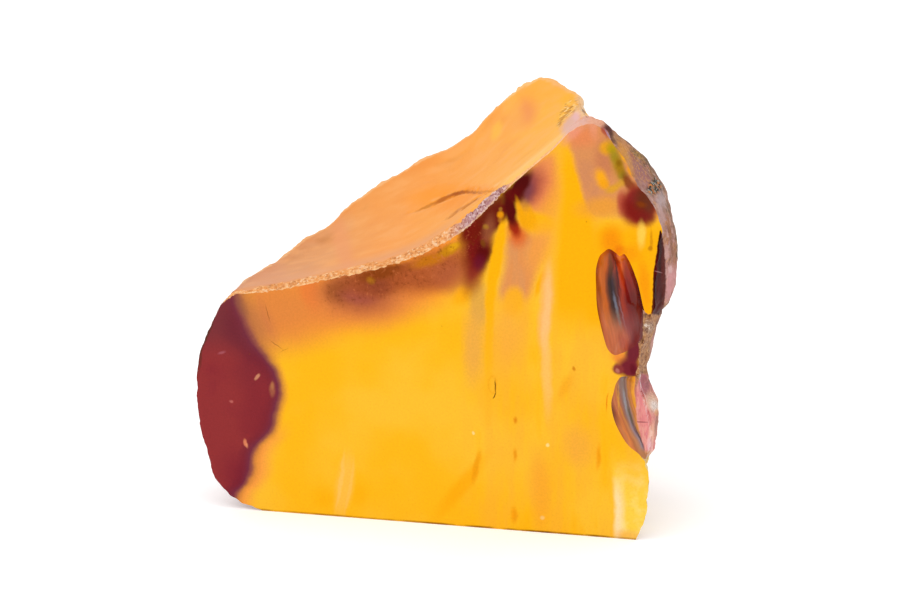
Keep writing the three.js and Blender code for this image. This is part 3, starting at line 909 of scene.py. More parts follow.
# The brownish haze and fine dark lines beside the dark red end.
HAIRLINES = (
    (9.6, 31.6, 1.1, 3.8, -24, 0.8, "bc724c", 0.5), (7.7, 33.8, 0.7, 1.8, -24, 0.8, "8c5a44", 0.45),
    (11.9, 32.8, 0.06, 1.3, -14, 0.6, "7a4a28", 0.6), (13.3, 27.6, 0.06, 1.1, -55, 0.6, "7a4a28", 0.6),
    (14.6, 26.8, 0.05, 0.7, 60, 0.6, "8a5a28", 0.5),
)

# Darker stone and pale flecks in the dark red end of the sawn face.
FLECKS = (
    (10.6, 26, 2.8, 5, 30, 0.8, "752f3a", 0.6), (10.2, 17, 2.6, 6, 4, 0.8, "822f38", 0.6),
    (7.4, 31.5, 2.4, 4, 16, 0.8, "702e3a", 0.7), (7, 5, 2.6, 4, -20, 0.8, "7c2a38", 0.6),
    (10.1, 22.2, 0.62, 0.26, -50, 0.4, "cf8a6a", 0.9), (12.6, 20.3, 0.5, 1.15, 2, 0.5, "a8624a", 0.8),
    (12.6, 20.9, 0.25, 0.6, 0, 0.6, "bd7c50", 0.6), (8, 11.1, 0.3, 0.7, -12, 0.4, "e08560", 0.9),
    (4.2, 25.8, 0.6, 0.2, -24, 0.6, "b0606a", 0.65), (5.5, 17.9, 0.3, 0.22, 10, 0.5, "c06a64", 0.8),
    (8.3, 10.6, 0.2, 0.4, 0, 0.6, "f09a70", 0.6),
)


def jasper_pattern():
    """Node group with the colours that run through the whole stone, by place in millimetres."""
    tree = bpy.data.node_groups.new("jasper_pattern", "ShaderNodeTree")
    tree.interface.new_socket("Place", in_out="INPUT", socket_type="NodeSocketVector")
    tree.interface.new_socket("Colour", in_out="OUTPUT", socket_type="NodeSocketColor")
    tree.interface.new_socket("Red", in_out="OUTPUT", socket_type="NodeSocketFloat")
    place = Value(tree, tree.nodes.new("NodeGroupInput").outputs["Place"])
    bent = place + (place.stray(5, 2, 1, 1.1) + place.stray(1.1, 3, 2, 0.42, keep=0.6))
    flat = bent * ON_FRONT
    across, _, up = bent.parts()

    # yellow body, with upright streaks that grow stronger to the right
    colour = place.grain(14, 3, seed=3).fade(0.35, 0.65).pick("ffbb26", "ffc238")
    streaks = place.grain(2.6, 3, stretch=(1, 1, 5), seed=4)
    right_side = across.fade(40, 50)
    colour = colour.mix("fcb23c", right_side * streaks.fade(0.42, 0.66) * 0.5)
    colour = colour.mix("ffb70a", right_side * streaks.fade(0.46, 0.3) * 0.6)

    # orange below the chipped edge of the left half
    edge = [
        (0, 33), (6.4, 35.3), (14, 36.4), (24, 39.1), (33, 41.5), (41, 45.6), (47, 50.5), (53, 57),
        (58, 61.5), (62, 65),
    ]
    below = across.line(edge) - up
    colour = colour.mix("fa963c", below.fade(12, 4.5) * across.fade(50, 40))

    # the dark red end and its coloured fringe
    end = [
        (-2, 5.6), (2.3, 6.5), (4.8, 8.4), (6.7, 9.1), (8.5, 9.3), (10.2, 9.9), (11.6, 10.9),
        (12.6, 11.9), (14, 12.7), (16, 13.2), (18, 14), (20, 14.3), (22.6, 13.6), (25, 12.3),
        (27.6, 10.4), (31, 8.6), (34.7, 7.6), (38, 7),
    ]
    past = (across - up.line(end)) * up.fade(22, 29, 0.85, 0.42)
    colour = colour.mix("f79a4c", past.fade(3.6, 0.2) * up.fade(16, 10))
    colour = put_spots(colour, flat, END_CLOUDS)
    fringe, strength = past.ramp_and_strength(
        (-2.6, "943a3b", 1), (-1.5, "82343b", 1), (-0.6, "783848", 1), (-0.1, "94534a", 0.95),
        (0.4, "cd8440", 0.75), (1.3, "f2a03a", 0)
    )
    colour = colour.mix(fringe, strength)
    red = past.fade(-0.1, -1.3)
    colour = colour.mix("7c3a3e", red * up.fade(24, 31))
    colour = colour.mix("86303a", red * place.grain(6, 2, seed=6).fade(0.5, 0.75) * 0.5)
    colour = put_spots(colour, flat, FLECKS, red)
    # a thin dark line along the front's left edge, and the haze and hairlines beside the red end
    outline = [
        (-2, 9), (2, 4.9), (4, 3.06), (6, 2.06), (8, 1.69), (10, 1.13), (12, 0.5), (14, 0.19),
        (18, -0.25), (22, -0.17), (24, 0.12), (26, 0.49), (28, 1.27), (30, 2.13), (32, 2.98),
        (34, 4.05), (36, 6.3),
    ]
    dark_edge = (across - up.line(outline)).fade(0.55, 0.25) * up.fade(19, 27)
    colour = colour.mix("50362a", dark_edge * 0.65)
    colour = put_spots(colour, flat, HAIRLINES)

    # pinkish tan beside the first yellow strip
    left = [(36, 49.5), (40, 50.2), (44, 51), (47.5, 51.2), (49, 52)]
    right = [(36, 54), (39, 54.8), (43, 56.2), (47, 57.2), (49, 57.6)]
    tan = between(across, up, left, right, 1, 2.8)
    drawn = place.grain(1.6, 3, stretch=(1, 1, 6), seed=14)
    body = drawn.fade(0.4, 0.62).pick("e39256", "dd945e")
    colour = colour.mix(body, tan * 0.95)
    colour = put_spots(colour, flat, CLOUDS)

    # the brown clouds are grainier than the yellow
    dusk = below.fade(6.5, 3) * across.fade(20, 23) * across.fade(50, 44)
    coarse = place.grain(0.7, 4, seed=12, keep=0.7)
    colour = colour.mix("74391c", dusk * coarse.fade(0.52, 0.68, 0, 0.5))
    colour = colour.mix("d67a4c", dusk * coarse.fade(0.44, 0.3, 0, 0.4))

    # yellow strip that runs down from the dark cloud
    left = [(16, 47.6), (30, 47.8), (38, 47.8), (41, 48), (46, 49), (50.6, 50.2)]
    right = [(16, 48.6), (30, 49.1), (38, 49.3), (41, 49.8), (46, 50.7), (50.6, 50.9)]
    strip = between(across, up, left, right, 0.35, 1.5)
    colour = colour.mix("ffb402", strip * up.fade(17, 40, 0.2, 1))

    # the pure yellow band, then the pinkish band to its right
    left = [(30, 59), (38, 58.7), (44, 59), (50, 59.4), (57, 59.8), (66, 60)]
    right = [(30, 66), (38, 67), (46, 65.6), (52, 64.4), (58, 62.8), (66, 61)]
    colour = colour.mix("ffb400", between(across, up, left, right, 0.9, 8))
    left = [(33, 63.6), (37, 64), (44, 64.6), (50, 65), (51.5, 65.5)]
    colour = colour.mix("ffb300", between(across, up, left, 77, 0.9, 3))
    left = [(50.6, 67.2), (51.6, 64.6), (52.5, 64), (58, 62.2), (63, 61), (68, 60)]
    right = [(50.6, 70), (51.6, 78), (52.5, 78), (58, 78), (63, 78), (68, 78)]
    pink = between(across, up, left, right, 0.6, 2.2)
    colour = colour.mix("dc925c", pink)
    lilac = pink * place.grain(2.4, 2, seed=8).fade(0.45, 0.7)
    colour = colour.mix("c98664", lilac * 0.45)
    colour = put_spots(colour, flat, RIGHT_SPOTS)

    # cream band at the right of the base, with a pale line along its left side
    low_right = [(-3, 68.6), (1, 68.7), (7, 68.6), (12, 67.9), (17, 67.5)]
    cream = between(across, up, low_right, PAST_END, 0.45, 1) * up.fade(16, 5)
    bright = place.grain(2.2, 2, seed=9).fade(0.36, 0.68).pick("ffd24c", "ffdd78")
    colour = colour.mix(bright, cream)
    pale = (across - up.line(low_right)).fade(2.2, 0.4) * cream * up.fade(11, 6)
    colour = colour.mix("fee0a8", pale)
    colour = put_spots(colour, flat, CORNER_MARKS)

    # hairline crack, dark pinpricks and faint sugary grain
    hair = flat.spot(49.5, 23.3, 0.09, 1.05, -4, 0.5).most(flat.spot(49.3, 21.9, 0.08, 0.6, 32, 0.5))
    colour = colour.mix("5c3a10", hair)
    ring = flat.spot(49, 23.6, 0.7, 1.4, 0, 0.3) - flat.spot(49, 23.6, 0.55, 1.2, 0, 0.2)
    colour = colour.mix("e8950c", ring.maths("MULTIPLY", ring, 0.5, use_clamp=True))
    pricks = place.cells(5.2, seed=3).fade(0.032, 0.014)
    colour = colour.mix("8a4a14", pricks * 0.4)
    sugar = place.grain(0.35, 3, seed=10, keep=0.65)
    colour = colour.shaded(sugar.fade(0.25, 0.75, 0.94, 1.06))
    leave = tree.nodes.new("NodeGroupOutput")
    tree.links.new(colour.socket, leave.inputs["Colour"])
    tree.links.new(red.socket, leave.inputs["Red"])
    return tree


def edge_strips(colour, seen):
    """The dark facet and the strip of brown skin down the right edge of the front face."""
    across, _, up = seen.parts()
    moved = across + (seen.grain(1, 3, seed=63) - 0.5) * 0.5
    left = [(24, 71.9), (26.5, 71.7), (28, 72), (31, 72.2), (33, 72.6), (35.2, 72.9), (36.6, 73.6)]
    skin = between(moved, up, left, PAST_END, 0.12, 0.5)
    grit = seen.grain(0.6, 4, seed=64, keep=0.7)
    flat = seen * ON_FRONT
    brown = grit.ramp(
        (0.3, "704634"), (0.42, "9c6a4a"), (0.5, "b47e56"), (0.58, "c69264"), (0.68, "e2bc94")
    )
    brown = brown.mix("b49078", flat.spot(73.6, 34.4, 0.8, 1.1, 0, 0.5))
    crystals = flat.spot(73.3, 34.3, 0.8, 1, 0, 0.6) * grit.fade(0.56, 0.64)
    brown = brown.mix("f4e4d4", crystals)
    brown = brown.mix("6c4638", grit.fade(0.47, 0.38) * up.fade(37, 34.5))
    colour = colour.mix(brown, skin)
    left = [(13.6, 73.6), (15.5, 73), (18, 72.3), (21, 71.8), (24, 71.8), (26, 72.2), (27.2, 72.6)]
    chip = between(moved, up, left, PAST_END, 0.14, 0.6)
    veins = seen.grain(0.9, 4, stretch=(0.5, 1, 2), seed=66, keep=0.7)
    pink = veins.fade(0.38, 0.62).pick("e07f80", "f2a898")
    pink = pink.tinted(veins, ("b4646c", 0.6, 0.74, 0.5), ("e6b0c0", 0.4, 0.28, 0.5))
    # marks on the pink chip; the cream and white spots near (74.5, 22) are a painted highlight
    marks = (
        (73, 25.4, 0.9, 2, -10, 0.6, "ad5f6e", 0.85), (73.2, 20.4, 0.7, 2.6, -14, 0.6, "ea8a8c", 0.6),
        (74.3, 17.2, 0.5, 2.2, 6, 0.6, "f6c0a4", 0.8), (74, 15.6, 0.4, 1.2, 0, 0.6, "f0b8c0", 0.7),
        (75, 19, 0.22, 1.8, 6, 0.5, "96705c", 0.6), (74.4, 22.4, 1, 1.5, -20, 0.6, "fbd2b4", 0.9),
        (74.7, 21.9, 0.6, 0.9, -20, 0.6, "fff0e8", 0.9), (75, 20.9, 0.3, 0.5, 0, 0.6, "f2a868", 0.7),
        (72.6, 19.15, 0.09, 1.1, 88, 0.5, "8a3c40", 0.8), (75.2, 16.6, 0.2, 1.7, 8, 0.6, "ecdce0", 0.7),
        (73.9, 13.9, 1.3, 0.7, 0, 0.4, "d2905c", 0.9),
    )
    pink = put_spots(pink, flat, marks)
    colour = colour.mix(pink, chip)
    left = [(36.2, 73.9), (38, 74.05), (41, 74.1), (44, 74.3), (47, 74.7), (49.8, 75.1)]
    right = [(36.2, 74.9), (38, 75.9), (41, 76.1), (44, 76), (47, 75.7), (49.8, 75.25)]
    facet = between(moved, up, left, right, 0.1, 0.4)
    body = seen.grain(2, 3, stretch=(0.5, 1, 2.5), seed=60)
    dark = body.fade(0.38, 0.65).pick("3a0c12", "561810")
    dark = dark.tinted(across, ("662818", 75.1, 75.8, 0.7), ("7a3c08", 74.4, 74.1, 0.7))
    colour = colour.mix(dark, facet)
    scratch = flat.spot(74.95, 43.1, 0.55, 0.08, 12, 0.6)
    return colour.mix("b08080", scratch * facet * 0.7)


def sawn_face(group):
    """The flat front: fine sawn stone with a satin rub to it."""
    made, shader, place = material("sawn_face")
    across, _, up = place.parts()
    colour = edge_strips(jasper(group, place)[0], place)
    # a brown line along the bottom edge, darker towards the right
    low = up.fade(0.42, 0.14)
    broken = place.grain(2, 3, stretch=(3, 1, 1), seed=20).fade(0.3, 0.6)
    bottom_line = low * (broken * across.fade(10, 60, 0.7, 0.95))
    colour = colour.mix(across.fade(20, 60).pick("9c6226", "7a481c"), bottom_line)
    bump = place.grain(0.25, 3, seed=21)
    gloss = place.grain(6, 3, seed=22).fade(0.3, 0.7, 0.36, 0.46)
    finish_surface(shader, colour, gloss, bump, 0.01, 0.04)
    return made


def crumbled_corner(colour, place, flat):
    """The crumbled corner at the right end of the broken top: gold, brown and cream grains."""
    flat = flat + place.stray(0.4, 3, 48, 0.7)
    colour = put_spots(colour, flat, PEAK_MARKS)
    grains, shown = place.grit(0.5, 39).ramp_and_strength(
        (0, "b8782c", 0.8), (0.16, "cc8c30", 0.7), (0.3, "f0a02c", 0.5), (0.6, "fdb630", 0),
        (0.85, "ffcc60", 0.6), (1, "ffe2a8", 0.9)
    )
    where = flat.spot(60.9, 68, 0.9, 2.3, 42, 0.4).most(flat.spot(59.7, 66.2, 0.5, 1.3, 34, 0.5))
    return colour.mix(grains, where * shown)


def broken_top():
    """The broken top: satin, pinkish orange to gold, with a pale crumbled edge at the front."""
    made, shader, place = material("broken_top")
    across = place.parts()[0]
    lie = place.grain(3, 4, stretch=(1.8, 0.8, 1.5), seed=30)
    shifted = across + (place.grain(10, 3, seed=31) - 0.5) * 14
    body = shifted.ramp(
        (6, "d98f60"), (14, "e39c66"), (21, "f2a054"), (30, "fba24a"), (40, "fca644"), (49, "ffb042"),
        (58, "ffb83e")
    )
    colour = body.tinted(lie, ("feb670", 0.45, 0.68, 0.3), ("ec8e44", 0.48, 0.3, 0.22))
    # a pinkish wash near the front edge at the left and gold near it at the right
    hollow = place.stored("hollow")
    to_arris = place.stored("to_arris")
    wash = to_arris.fade(8, 2.5) * across.fade(46, 38)
    colour = colour.mix("e8a272", wash * 0.6)
    gold = to_arris.fade(7, 2) * across.fade(46, 53)
    colour = colour.mix("ffc874", gold * 0.75)
    # stains and the dark lines of the crack, partly painted shade of its step, placed as they are seen from
    # the front right
    seen = slanted(place)
    flat = seen * ON_FRONT + place.stray(0.9, 3, 33, 0.5)
    colour = put_spots(colour, flat, TOP_MARKS)
    # the crumbled front edge: its darkest grains are partly painted shade in pits and its palest partly
    # painted highlight on crumbs
    ragged = place.stored("chipped") + place.grain(0.5, 2, seed=34).fade(0.3, 0.7, -0.3, 0.3)
    crumbs = ragged.fade(0.3, 0.62)
    sparkle = place.grain(0.3, 3, seed=35, keep=0.7).fade(0.36, 0.66)
    crystals = place.grit(0.36, 38)
    warm = crystals.ramp(
        (0, "a4602a"), (0.16, "c87838"), (0.3, "e8964c"), (0.6, "f6ac66"), (0.85, "fdcc94"),
        (1, "ffe4c0")
    )
    warm = warm.mix(sparkle.pick("e48a48", "fdc48c"), 0.45)
    lilac = crystals.ramp(
        (0, "743a34"), (0.2, "965e56"), (0.45, "b48284"), (0.7, "cca4a4"), (0.9, "f0d4d0")
    )
    lilac = lilac.mix(sparkle.pick("9c5f64", "dcb0ac"), 0.4)
    purple = across.fade(40.5, 45) * across.fade(52.5, 49.8)
    edge = warm.mix(lilac, purple)
    cream = across.fade(50.5, 52.5)
    edge = edge.mix(sparkle.fade(0.2, 0.8).pick("f4aa74", "fcc68a"), cream)
    edge = edge.mix(sparkle.pick("eeab8c", "f7c09c"), across.fade(57, 60.5))
    colour = colour.mix(edge, crumbs)
    colour = crumbled_corner(colour, place, flat)
    # worn crests pale, hollows deeper
    # painted highlight on crests, painted shade in hollows
    colour = colour.tinted(hollow, ("b5641e", 0.62, 0.95, 0.5), ("ffd49a", 0.4, 0.1, 0.45))
    # brownish rim along the back edge
    colour = colour.mix("f0903c", place.stored("rim").fade(1, 0.2) * 0.25)
    bump = place.grain(0.5, 4, seed=36, keep=0.65) + place.grain(0.2, 3, seed=37) * 0.5
    finish_surface(shader, colour, crumbs.fade(0, 1, 0.52, 0.8), bump, 0.05, 0.25)
    return made


def rind_colour(place, hollow):
    """The weathered skin: purple-grey, pink and brown, with painted shade in its hollows and painted
    highlight on its crests.
    """
    patches = place.grain(8, 5, seed=40, keep=0.62)
    second = place.grain(3, 4, seed=41, keep=0.65)
    fine = place.grain(0.5, 4, seed=42, keep=0.7)
    colour = patches.ramp(
        (0.3, "7a4a40"), (0.42, "94615a"), (0.5, "b98478"), (0.58, "c98f84"), (0.68, "b0785c"),
        (0.78, "8f5a3a")
    )
    colour = colour.tinted(second, ("c3888c", 0.52, 0.66, 0.75), ("8a6a4c", 0.44, 0.32, 0.6))
    colour = colour.tinted(fine, ("5e4034", 0.56, 0.75, 0.6), ("e4b8a8", 0.42, 0.25, 0.5))
    specks = place.cells(1.1, seed=5).fade(0.24, 0.12)
    colour = colour.mix("c8742c", specks * second.fade(0.5, 0.62))
    # painted shade in hollows, painted highlight on crests
    return colour.tinted(hollow, ("573a2c", 0.6, 0.95, 0.7), ("d8ae9c", 0.4, 0.1, 0.5))


def rind():
    """The weathered skin round the ends and back of the stone."""
    made, shader, place = material("rind")
    hollow = place.stored("hollow")
    colour = rind_colour(place, hollow)
    across, back, up = place.parts()
    # dark red skin on the left end, over the dark red inside
    left = (across + place.grain(5, 3, seed=50) * 8).fade(19, 12)
    dull = place.grain(1.5, 4, seed=51, keep=0.65).fade(0.35, 0.65).pick("6a3030", "95524a")
    blotch = place.grain(7, 6, seed=49, keep=0.62)
    dull = dull.tinted(
        blotch, ("a8685c", 0.5, 0.62, 0.75), ("d09a72", 0.6, 0.68, 0.8), ("552628", 0.42, 0.32, 0.8)
    )
    # painted highlight on crests and painted shade in hollows of the dark red skin
    dull = dull.tinted(hollow, ("bb7a6c", 0.4, 0.1, 0.5), ("3e2020", 0.6, 0.95, 0.6))
    colour = colour.mix(dull, left * 0.85)
    # purple-grey to pink skin behind the right edge of the front face
    near = across.fade(60, 65) * back.fade(15, 8)
    drift = (place.grain(3, 3, seed=56) - 0.5) * 9
    skin = (up + drift).ramp(
        (20, "a9705c"), (30, "a4763f"), (36, "b58a58"), (39, "d39590"), (43, "c98f8c"), (47, "a9756a"),
        (52, "c09890"), (55.5, "bc988e"), (57.5, "ac7666"), (60, "b08468"), (62, "bd8656"),
        (64, "c08860"), (66, "c89278")
    )
    crystals = place.grit(0.7, 60)
    mixed = crystals.ramp(
        (0, "6a4430"), (0.15, "96633f"), (0.32, "c8948a"), (0.5, "bc8a80"), (0.66, "d08c44"),
        (0.8, "e0bab0"), (0.95, "8c6252")
    )
    skin = skin.mix(mixed, 0.5)
    grit = place.grain(0.45, 4, seed=57, keep=0.75)
    skin = skin.tinted(grit, ("6a4634", 0.54, 0.68, 0.75), ("e4beb0", 0.45, 0.3, 0.55))
    # olive and dark brown specks, more of them further back from the front
    olive_dark_specks = place.grain(1.8, 5, seed=58, keep=0.7) + back.fade(1.5, 7, -0.06, 0.1)
    skin = skin.tinted(olive_dark_specks, ("8c6838", 0.55, 0.64, 0.75), ("3e2c1e", 0.64, 0.7, 0.8))
    # painted shade in the hollows
    skin = skin.tinted(hollow, ("4a3226", 0.6, 0.9, 0.6))
    colour = colour.mix(skin, near)
    # cream stone showing low on the right end
    wander = place.grain(6, 4, seed=45, keep=0.6) * 12
    cream = (up + wander).fade(20, 16) * (across + wander).fade(68, 72)
    wide = place.grain(2.5, 3, seed=52).fade(0.42, 0.62).pick("e9bd62", "fbe090")
    colour = colour.mix(wide, cream * place.grain(4, 4, seed=53).fade(0.62, 0.48))
    # dark rim beside the top of the front face, and a pit filled with dark and orange grains
    seen = slanted(place)
    flat = seen * ON_FRONT
    shallow = back.fade(12, 8)
    strewn = flat + place.stray(0.8, 3, 47, 0.9)
    colour = put_spots(colour, strewn, SKIN_MARKS, shallow)
    grains = place.grit(0.36, 54)
    dots = strewn.spot(72, 60.9, 0.8, 3.6, -42, 0.5) * grains.fade(0.36, 0.26)
    colour = colour.mix("6a5034", dots * (shallow * 0.6))
    glints = strewn.spot(70.9, 60.2, 1.2, 4.4, -36, 0.6) * grains.fade(0.76, 0.88)
    colour = colour.mix("e2a050", glints * (shallow * 0.55))
    pit = strewn.spot(74.4, 56.6, 1.9, 1, -50, 0.35) * shallow
    crumbs = grains.ramp(
        (0.1, "241c16"), (0.25, "3a2c20"), (0.35, "e08a3c"), (0.5, "b0683c"), (0.62, "8a8678"),
        (0.78, "bab8b0"), (0.9, "4c4438")
    )
    colour = colour.mix(crumbs, pit)
    # pinkish cream bevel at the top right
    bevel = flat.spot(63.2, 66.1, 3.2, 1.4, 0, 0.3) * back.fade(12, 7)
    crumbs = grit.fade(0.4, 0.62).pick("f2b494", "eaa688")
    colour = colour.mix(crumbs, bevel)
    colour = crumbled_corner(colour, place, flat)
    # the strips of the right edge carry on round it, and weather away further back
    facing = (back + place.grain(5, 5, seed=59, keep=0.65) * 22).fade(23.5, 20.5)
    weathered = back.fade(2, 9, 0, 0.55) * grit.fade(0.42, 0.58)
    colour = colour.mix(edge_strips(colour, seen), facing * (1 - weathered))
    bump = place.grain(0.9, 5, seed=55, keep=0.7) + crystals * 0.12
    finish_surface(shader, colour, 0.7, bump, 0.22, 0.25)
    return made


def scar_paint(name, core, bands, lower_bands, marks):
    """Glossy banded stone inside a flake scar, by distance across its dark core; its grey and grey-blue
    bands are partly painted reflection.
    """
    made, shader, place = material(name)
    seen = slanted(place)
    bend = place.grain(2, 3, stretch=(1, 1, 2), seed=70)
    across, _, up = seen.parts()
    past = across + (bend - 0.5) * 0.7 - up.line(core)
    colour = past.ramp(*bands)
    for high, low, lower in lower_bands:
        colour = colour.mix(past.ramp(*lower), up.fade(high, low))
    colour = put_spots(colour, seen * ON_FRONT + place.stray(0.8, 3, 73, 0.5), marks)
    # fine streaks that follow the hollow
    along = place.node("CombineXYZ", {0: past, 2: up})
    lines = along.grain(0.35, 3, stretch=(1, 1, 9), seed=74, keep=0.6)
    colour = edge_strips(colour.shaded(lines.fade(0.3, 0.7, 0.9, 1.1)), seen)
    bump = place.grain(1.2, 3, stretch=(0.4, 1, 2), seed=72)
    finish_surface(shader, colour, 0.24, bump, 0.06, 0.3)
    return made


def upper_scar():
    """The larger flake scar: orange lip, smoky heart and deep red to the right, paler below; the heart's
    grey-violet and the grey-blue streaks are partly painted reflection.
    """
    core = (
        (29, 69.7), (32, 69.2), (34, 68.8), (36, 68.35), (38, 68), (40, 67.75), (42, 67.65), (44, 67.8),
        (46.3, 67.4),
    )
    top = (
        (-2.7, "803010"), (-2.4, "b2500e"), (-1.9, "cf641c"), (-1.5, "dc720c"), (-0.9, "d26400"),
        (-0.4, "a84a08"), (0, "842a08"), (0.3, "a8421c"), (0.6, "8a2a08"), (0.95, "b0440c"),
        (1.35, "e06426"), (1.7, "c2521a"), (2.2, "a4421c"), (2.8, "9a3a1c"), (3.3, "842c12"),
    )
    # the smoky heart's grey-violet bands are partly the stone's colour and partly painted reflection
    heart = (
        (-2.75, "7e3414"), (-2.45, "bc5e20"), (-2.1, "b0561f"), (-1.7, "d86c14"), (-1.1, "d06606"),
        (-0.7, "8a4212"), (-0.4, "4e2a18"), (0, "3a2220"), (0.25, "584050"), (0.5, "6c4238"),
        (0.9, "5e1c0e"), (1.35, "ae3a12"), (1.8, "9c3012"), (2.3, "84200a"), (2.9, "7c2410"),
        (3.5, "7a2a18"), (4.1, "56180a"),
    )
    low = (
        (-2.7, "a04c24"), (-2.4, "c86838"), (-2, "e27e4e"), (-1.5, "da783a"), (-0.9, "bc6e44"),
        (-0.3, "9c664a"), (0.3, "9e5c48"), (0.9, "9c5048"), (1.5, "924442"), (2.2, "863c38"),
        (3, "7c3c3a"), (4, "6e3a36"),
    )
    marks = (
        (68.5, 31.6, 1.9, 2.6, -14, 0.6, "d2734a", 0.85),
        (69.8, 31.4, 0.7, 1.6, -24, 0.6, "b4523c", 0.8), (68, 39.6, 0.42, 3.4, -10, 0.6, "2c1c1c", 0.6),
        (67.5, 43.6, 0.35, 1.8, -4, 0.6, "5c3c14", 0.6),
        # the grey-blue and grey streaks on this line and the next are painted reflection
        (68.35, 37.8, 0.22, 1.5, -14, 0.6, "86889a", 0.6),
        (68.8, 35.6, 0.2, 1.5, -16, 0.6, "8e8478", 0.5),
        (69.3, 36.6, 0.12, 2.4, -14, 0.6, "a07478", 0.5),
        (68.55, 42.4, 0.13, 3.4, -12, 0.6, "4c1208", 0.8),
        (69.15, 42.2, 0.3, 2.4, -12, 0.6, "d04414", 0.7),
        (69, 45.2, 0.45, 0.8, -20, 0.6, "ee7a10", 0.8), (70.2, 42.6, 0.3, 2.2, -22, 0.7, "a42c12", 0.6),
        (71, 43.4, 0.12, 1.9, -24, 0.6, "5c1408", 0.8),
        (71.9, 40.8, 0.13, 1.9, -18, 0.6, "5a160a", 0.8), (71, 38, 0.9, 1.5, -14, 0.8, "640e0a", 0.6),
        (71.3, 30.2, 1, 2.6, 4, 0.4, "7c3236", 0.9),
    )
    return scar_paint("upper_scar", core, top, ((44, 41, heart), (37.6, 34.2, low)), marks)


def lower_scar():
    """The smaller flake scar: orange-brown and orange bands, with grey-blue bands that are partly painted
    reflection.
    """
    core = (
        (13, 73.8), (14, 73.4), (15, 73), (16, 72.6), (17, 72.1), (18, 71.55), (19, 71.15), (20, 70.75),
        (21, 70.4), (22, 70.05), (24, 69.75), (26, 69.7),
    )
    top = (
        # the grey bands near the core, here and below, are partly the stone's colour and partly painted
        # reflection
        (-2.3, "80401e"), (-1.95, "aa5834"), (-1.6, "cc7644"), (-1.25, "c26c40"), (-0.95, "d08438"),
        (-0.75, "b06a48"), (-0.4, "947068"), (-0.15, "93827e"), (0.1, "8a7468"), (0.3, "7c5a50"),
        (0.45, "a0786a"), (0.7, "b47434"), (1, "d88448"), (1.2, "c47a34"), (1.4, "f2a024"),
        (1.75, "efa034"), (1.95, "cc7c6a"), (2.6, "d98078"),
    )
    low = (
        (-3, "8c4420"), (-2.6, "c06a34"), (-2.2, "d2804a"), (-1.7, "dc8040"), (-1.3, "c07040"),
        (-0.9, "c88250"), (-0.5, "b47e60"), (-0.15, "a0868c"), (0.1, "6c5058"), (0.25, "9c7468"),
        (0.5, "cc8240"), (0.9, "f0a04a"), (1.3, "ec9c74"),
    )
    marks = (
        (69.4, 24.8, 0.3, 1.3, -4, 0.6, "8c6a5c", 0.6), (70.9, 25.2, 0.35, 1.2, 6, 0.6, "bc7030", 0.6),
        # the pale grey-blue streak at (70, 22.4) is a painted reflection
        (69, 22.6, 0.12, 2.4, -2, 0.6, "dd9a3c", 0.6), (70, 22.4, 0.16, 1.7, -10, 0.6, "a4a0a8", 0.6),
        (70.9, 20.1, 0.14, 1.4, -20, 0.6, "5e5440", 0.7), (72.3, 17, 0.1, 2.2, -26, 0.6, "58403c", 0.8),
        (73.4, 14, 0.8, 0.9, -30, 0.5, "bc7a4c", 0.9),
    )
    return scar_paint("lower_scar", core, top, ((20.6, 17.6, low),), marks)


def sawn_base(group):
    """The sawn underside, which cuts through the same bands as the front."""
    made, shader, place = material("sawn_base")
    across, back, _ = place.parts()
    inside = place.node("CombineXYZ", {0: across + back * 0.12, 1: back, 2: 2 + back * 0.55})
    colour = jasper(group, inside)[0]
    dust = place.grain(7, 5, seed=80, keep=0.65).fade(0.5, 0.75, 0, 0.3)
    colour = colour.mix("d8a468", dust)
    marks = place.grain(0.9, 3, stretch=(14, 0.5, 1), seed=81)
    finish_surface(shader, colour, marks.fade(0.3, 0.7, 0.45, 0.6), marks, 0.03, 0.25)
    return made


def broken_back(group):
    """Fresh broken stone on the back, where the skin has come away."""
    made, shader, place = material("broken_back")
    across, back, up = place.parts()
    colour, red = jasper(group, place + (place.stray(14, 4, 90, 16) + (2.5, 0, -3)))
    hollow = place.stored("hollow")
    cloudy = place.grain(9, 5, seed=93, keep=0.6)
    yellow = red.fade(0.5, 0)
    colour = colour.mix("dd8a44", yellow * cloudy.fade(0.48, 0.66, 0, 0.55))
    colour = colour.mix("f6b450", yellow * cloudy.fade(0.44, 0.3, 0, 0.4))
    skin = rind_colour(place, hollow)
    ends = across.fade(56, 72, -0.05, 0.2) + up.fade(16, 0, 0, 0.12)
    ends = ends + back.fade(27, 19, 0, 0.12)
    ragged = place.grain(24, 7, seed=91, keep=0.58) + ends
    colour = colour.mix(skin, ragged.fade(0.56, 0.64, 0, 0.92))
    stained = place.grain(5, 5, seed=94, keep=0.65)
    colour = colour.tinted(stained, ("b0603a", 0.56, 0.72, 0.4))
    # painted shade in the hollows; the pale crests are partly whitened broken edges and partly painted
    # highlight
    colour = colour.tinted(hollow, ("9a5630", 0.6, 1, 0.45))
    wear_and_highlight = hollow.fade(0.38, 0.05, 0, 0.34) * place.grain(3.5, 4, seed=95, keep=0.6).fade(0.42, 0.62)
    colour = colour.mix("ffd49c", wear_and_highlight)
    bump = place.grain(0.6, 5, seed=92, keep=0.65)
    finish_surface(shader, colour, 0.62, bump, 0.1, 0.3)
    return made


# ---------------- putting the stone together


def bend_of(points, faces):
    """0.5 where the surface is flat, towards 1 in hollows and 0 on crests."""
    a, b = neighbours(faces)
    used = np.maximum(np.bincount(a, minlength=len(points)), 1)[:, None]
    normals = point_normals(points, faces)
    total = np.zeros(len(points))
    blurred = points
    for _ in range(3):
        for _ in range(3):
            blurred = gather(a, blurred[b], len(points)) / used
        total = total + ((blurred - points) * normals).sum(1)
    total = gather(a, total[b, None], len(points))[:, 0] / used[:, 0]
    return np.clip(0.5 + total * 1.8, 0, 1)


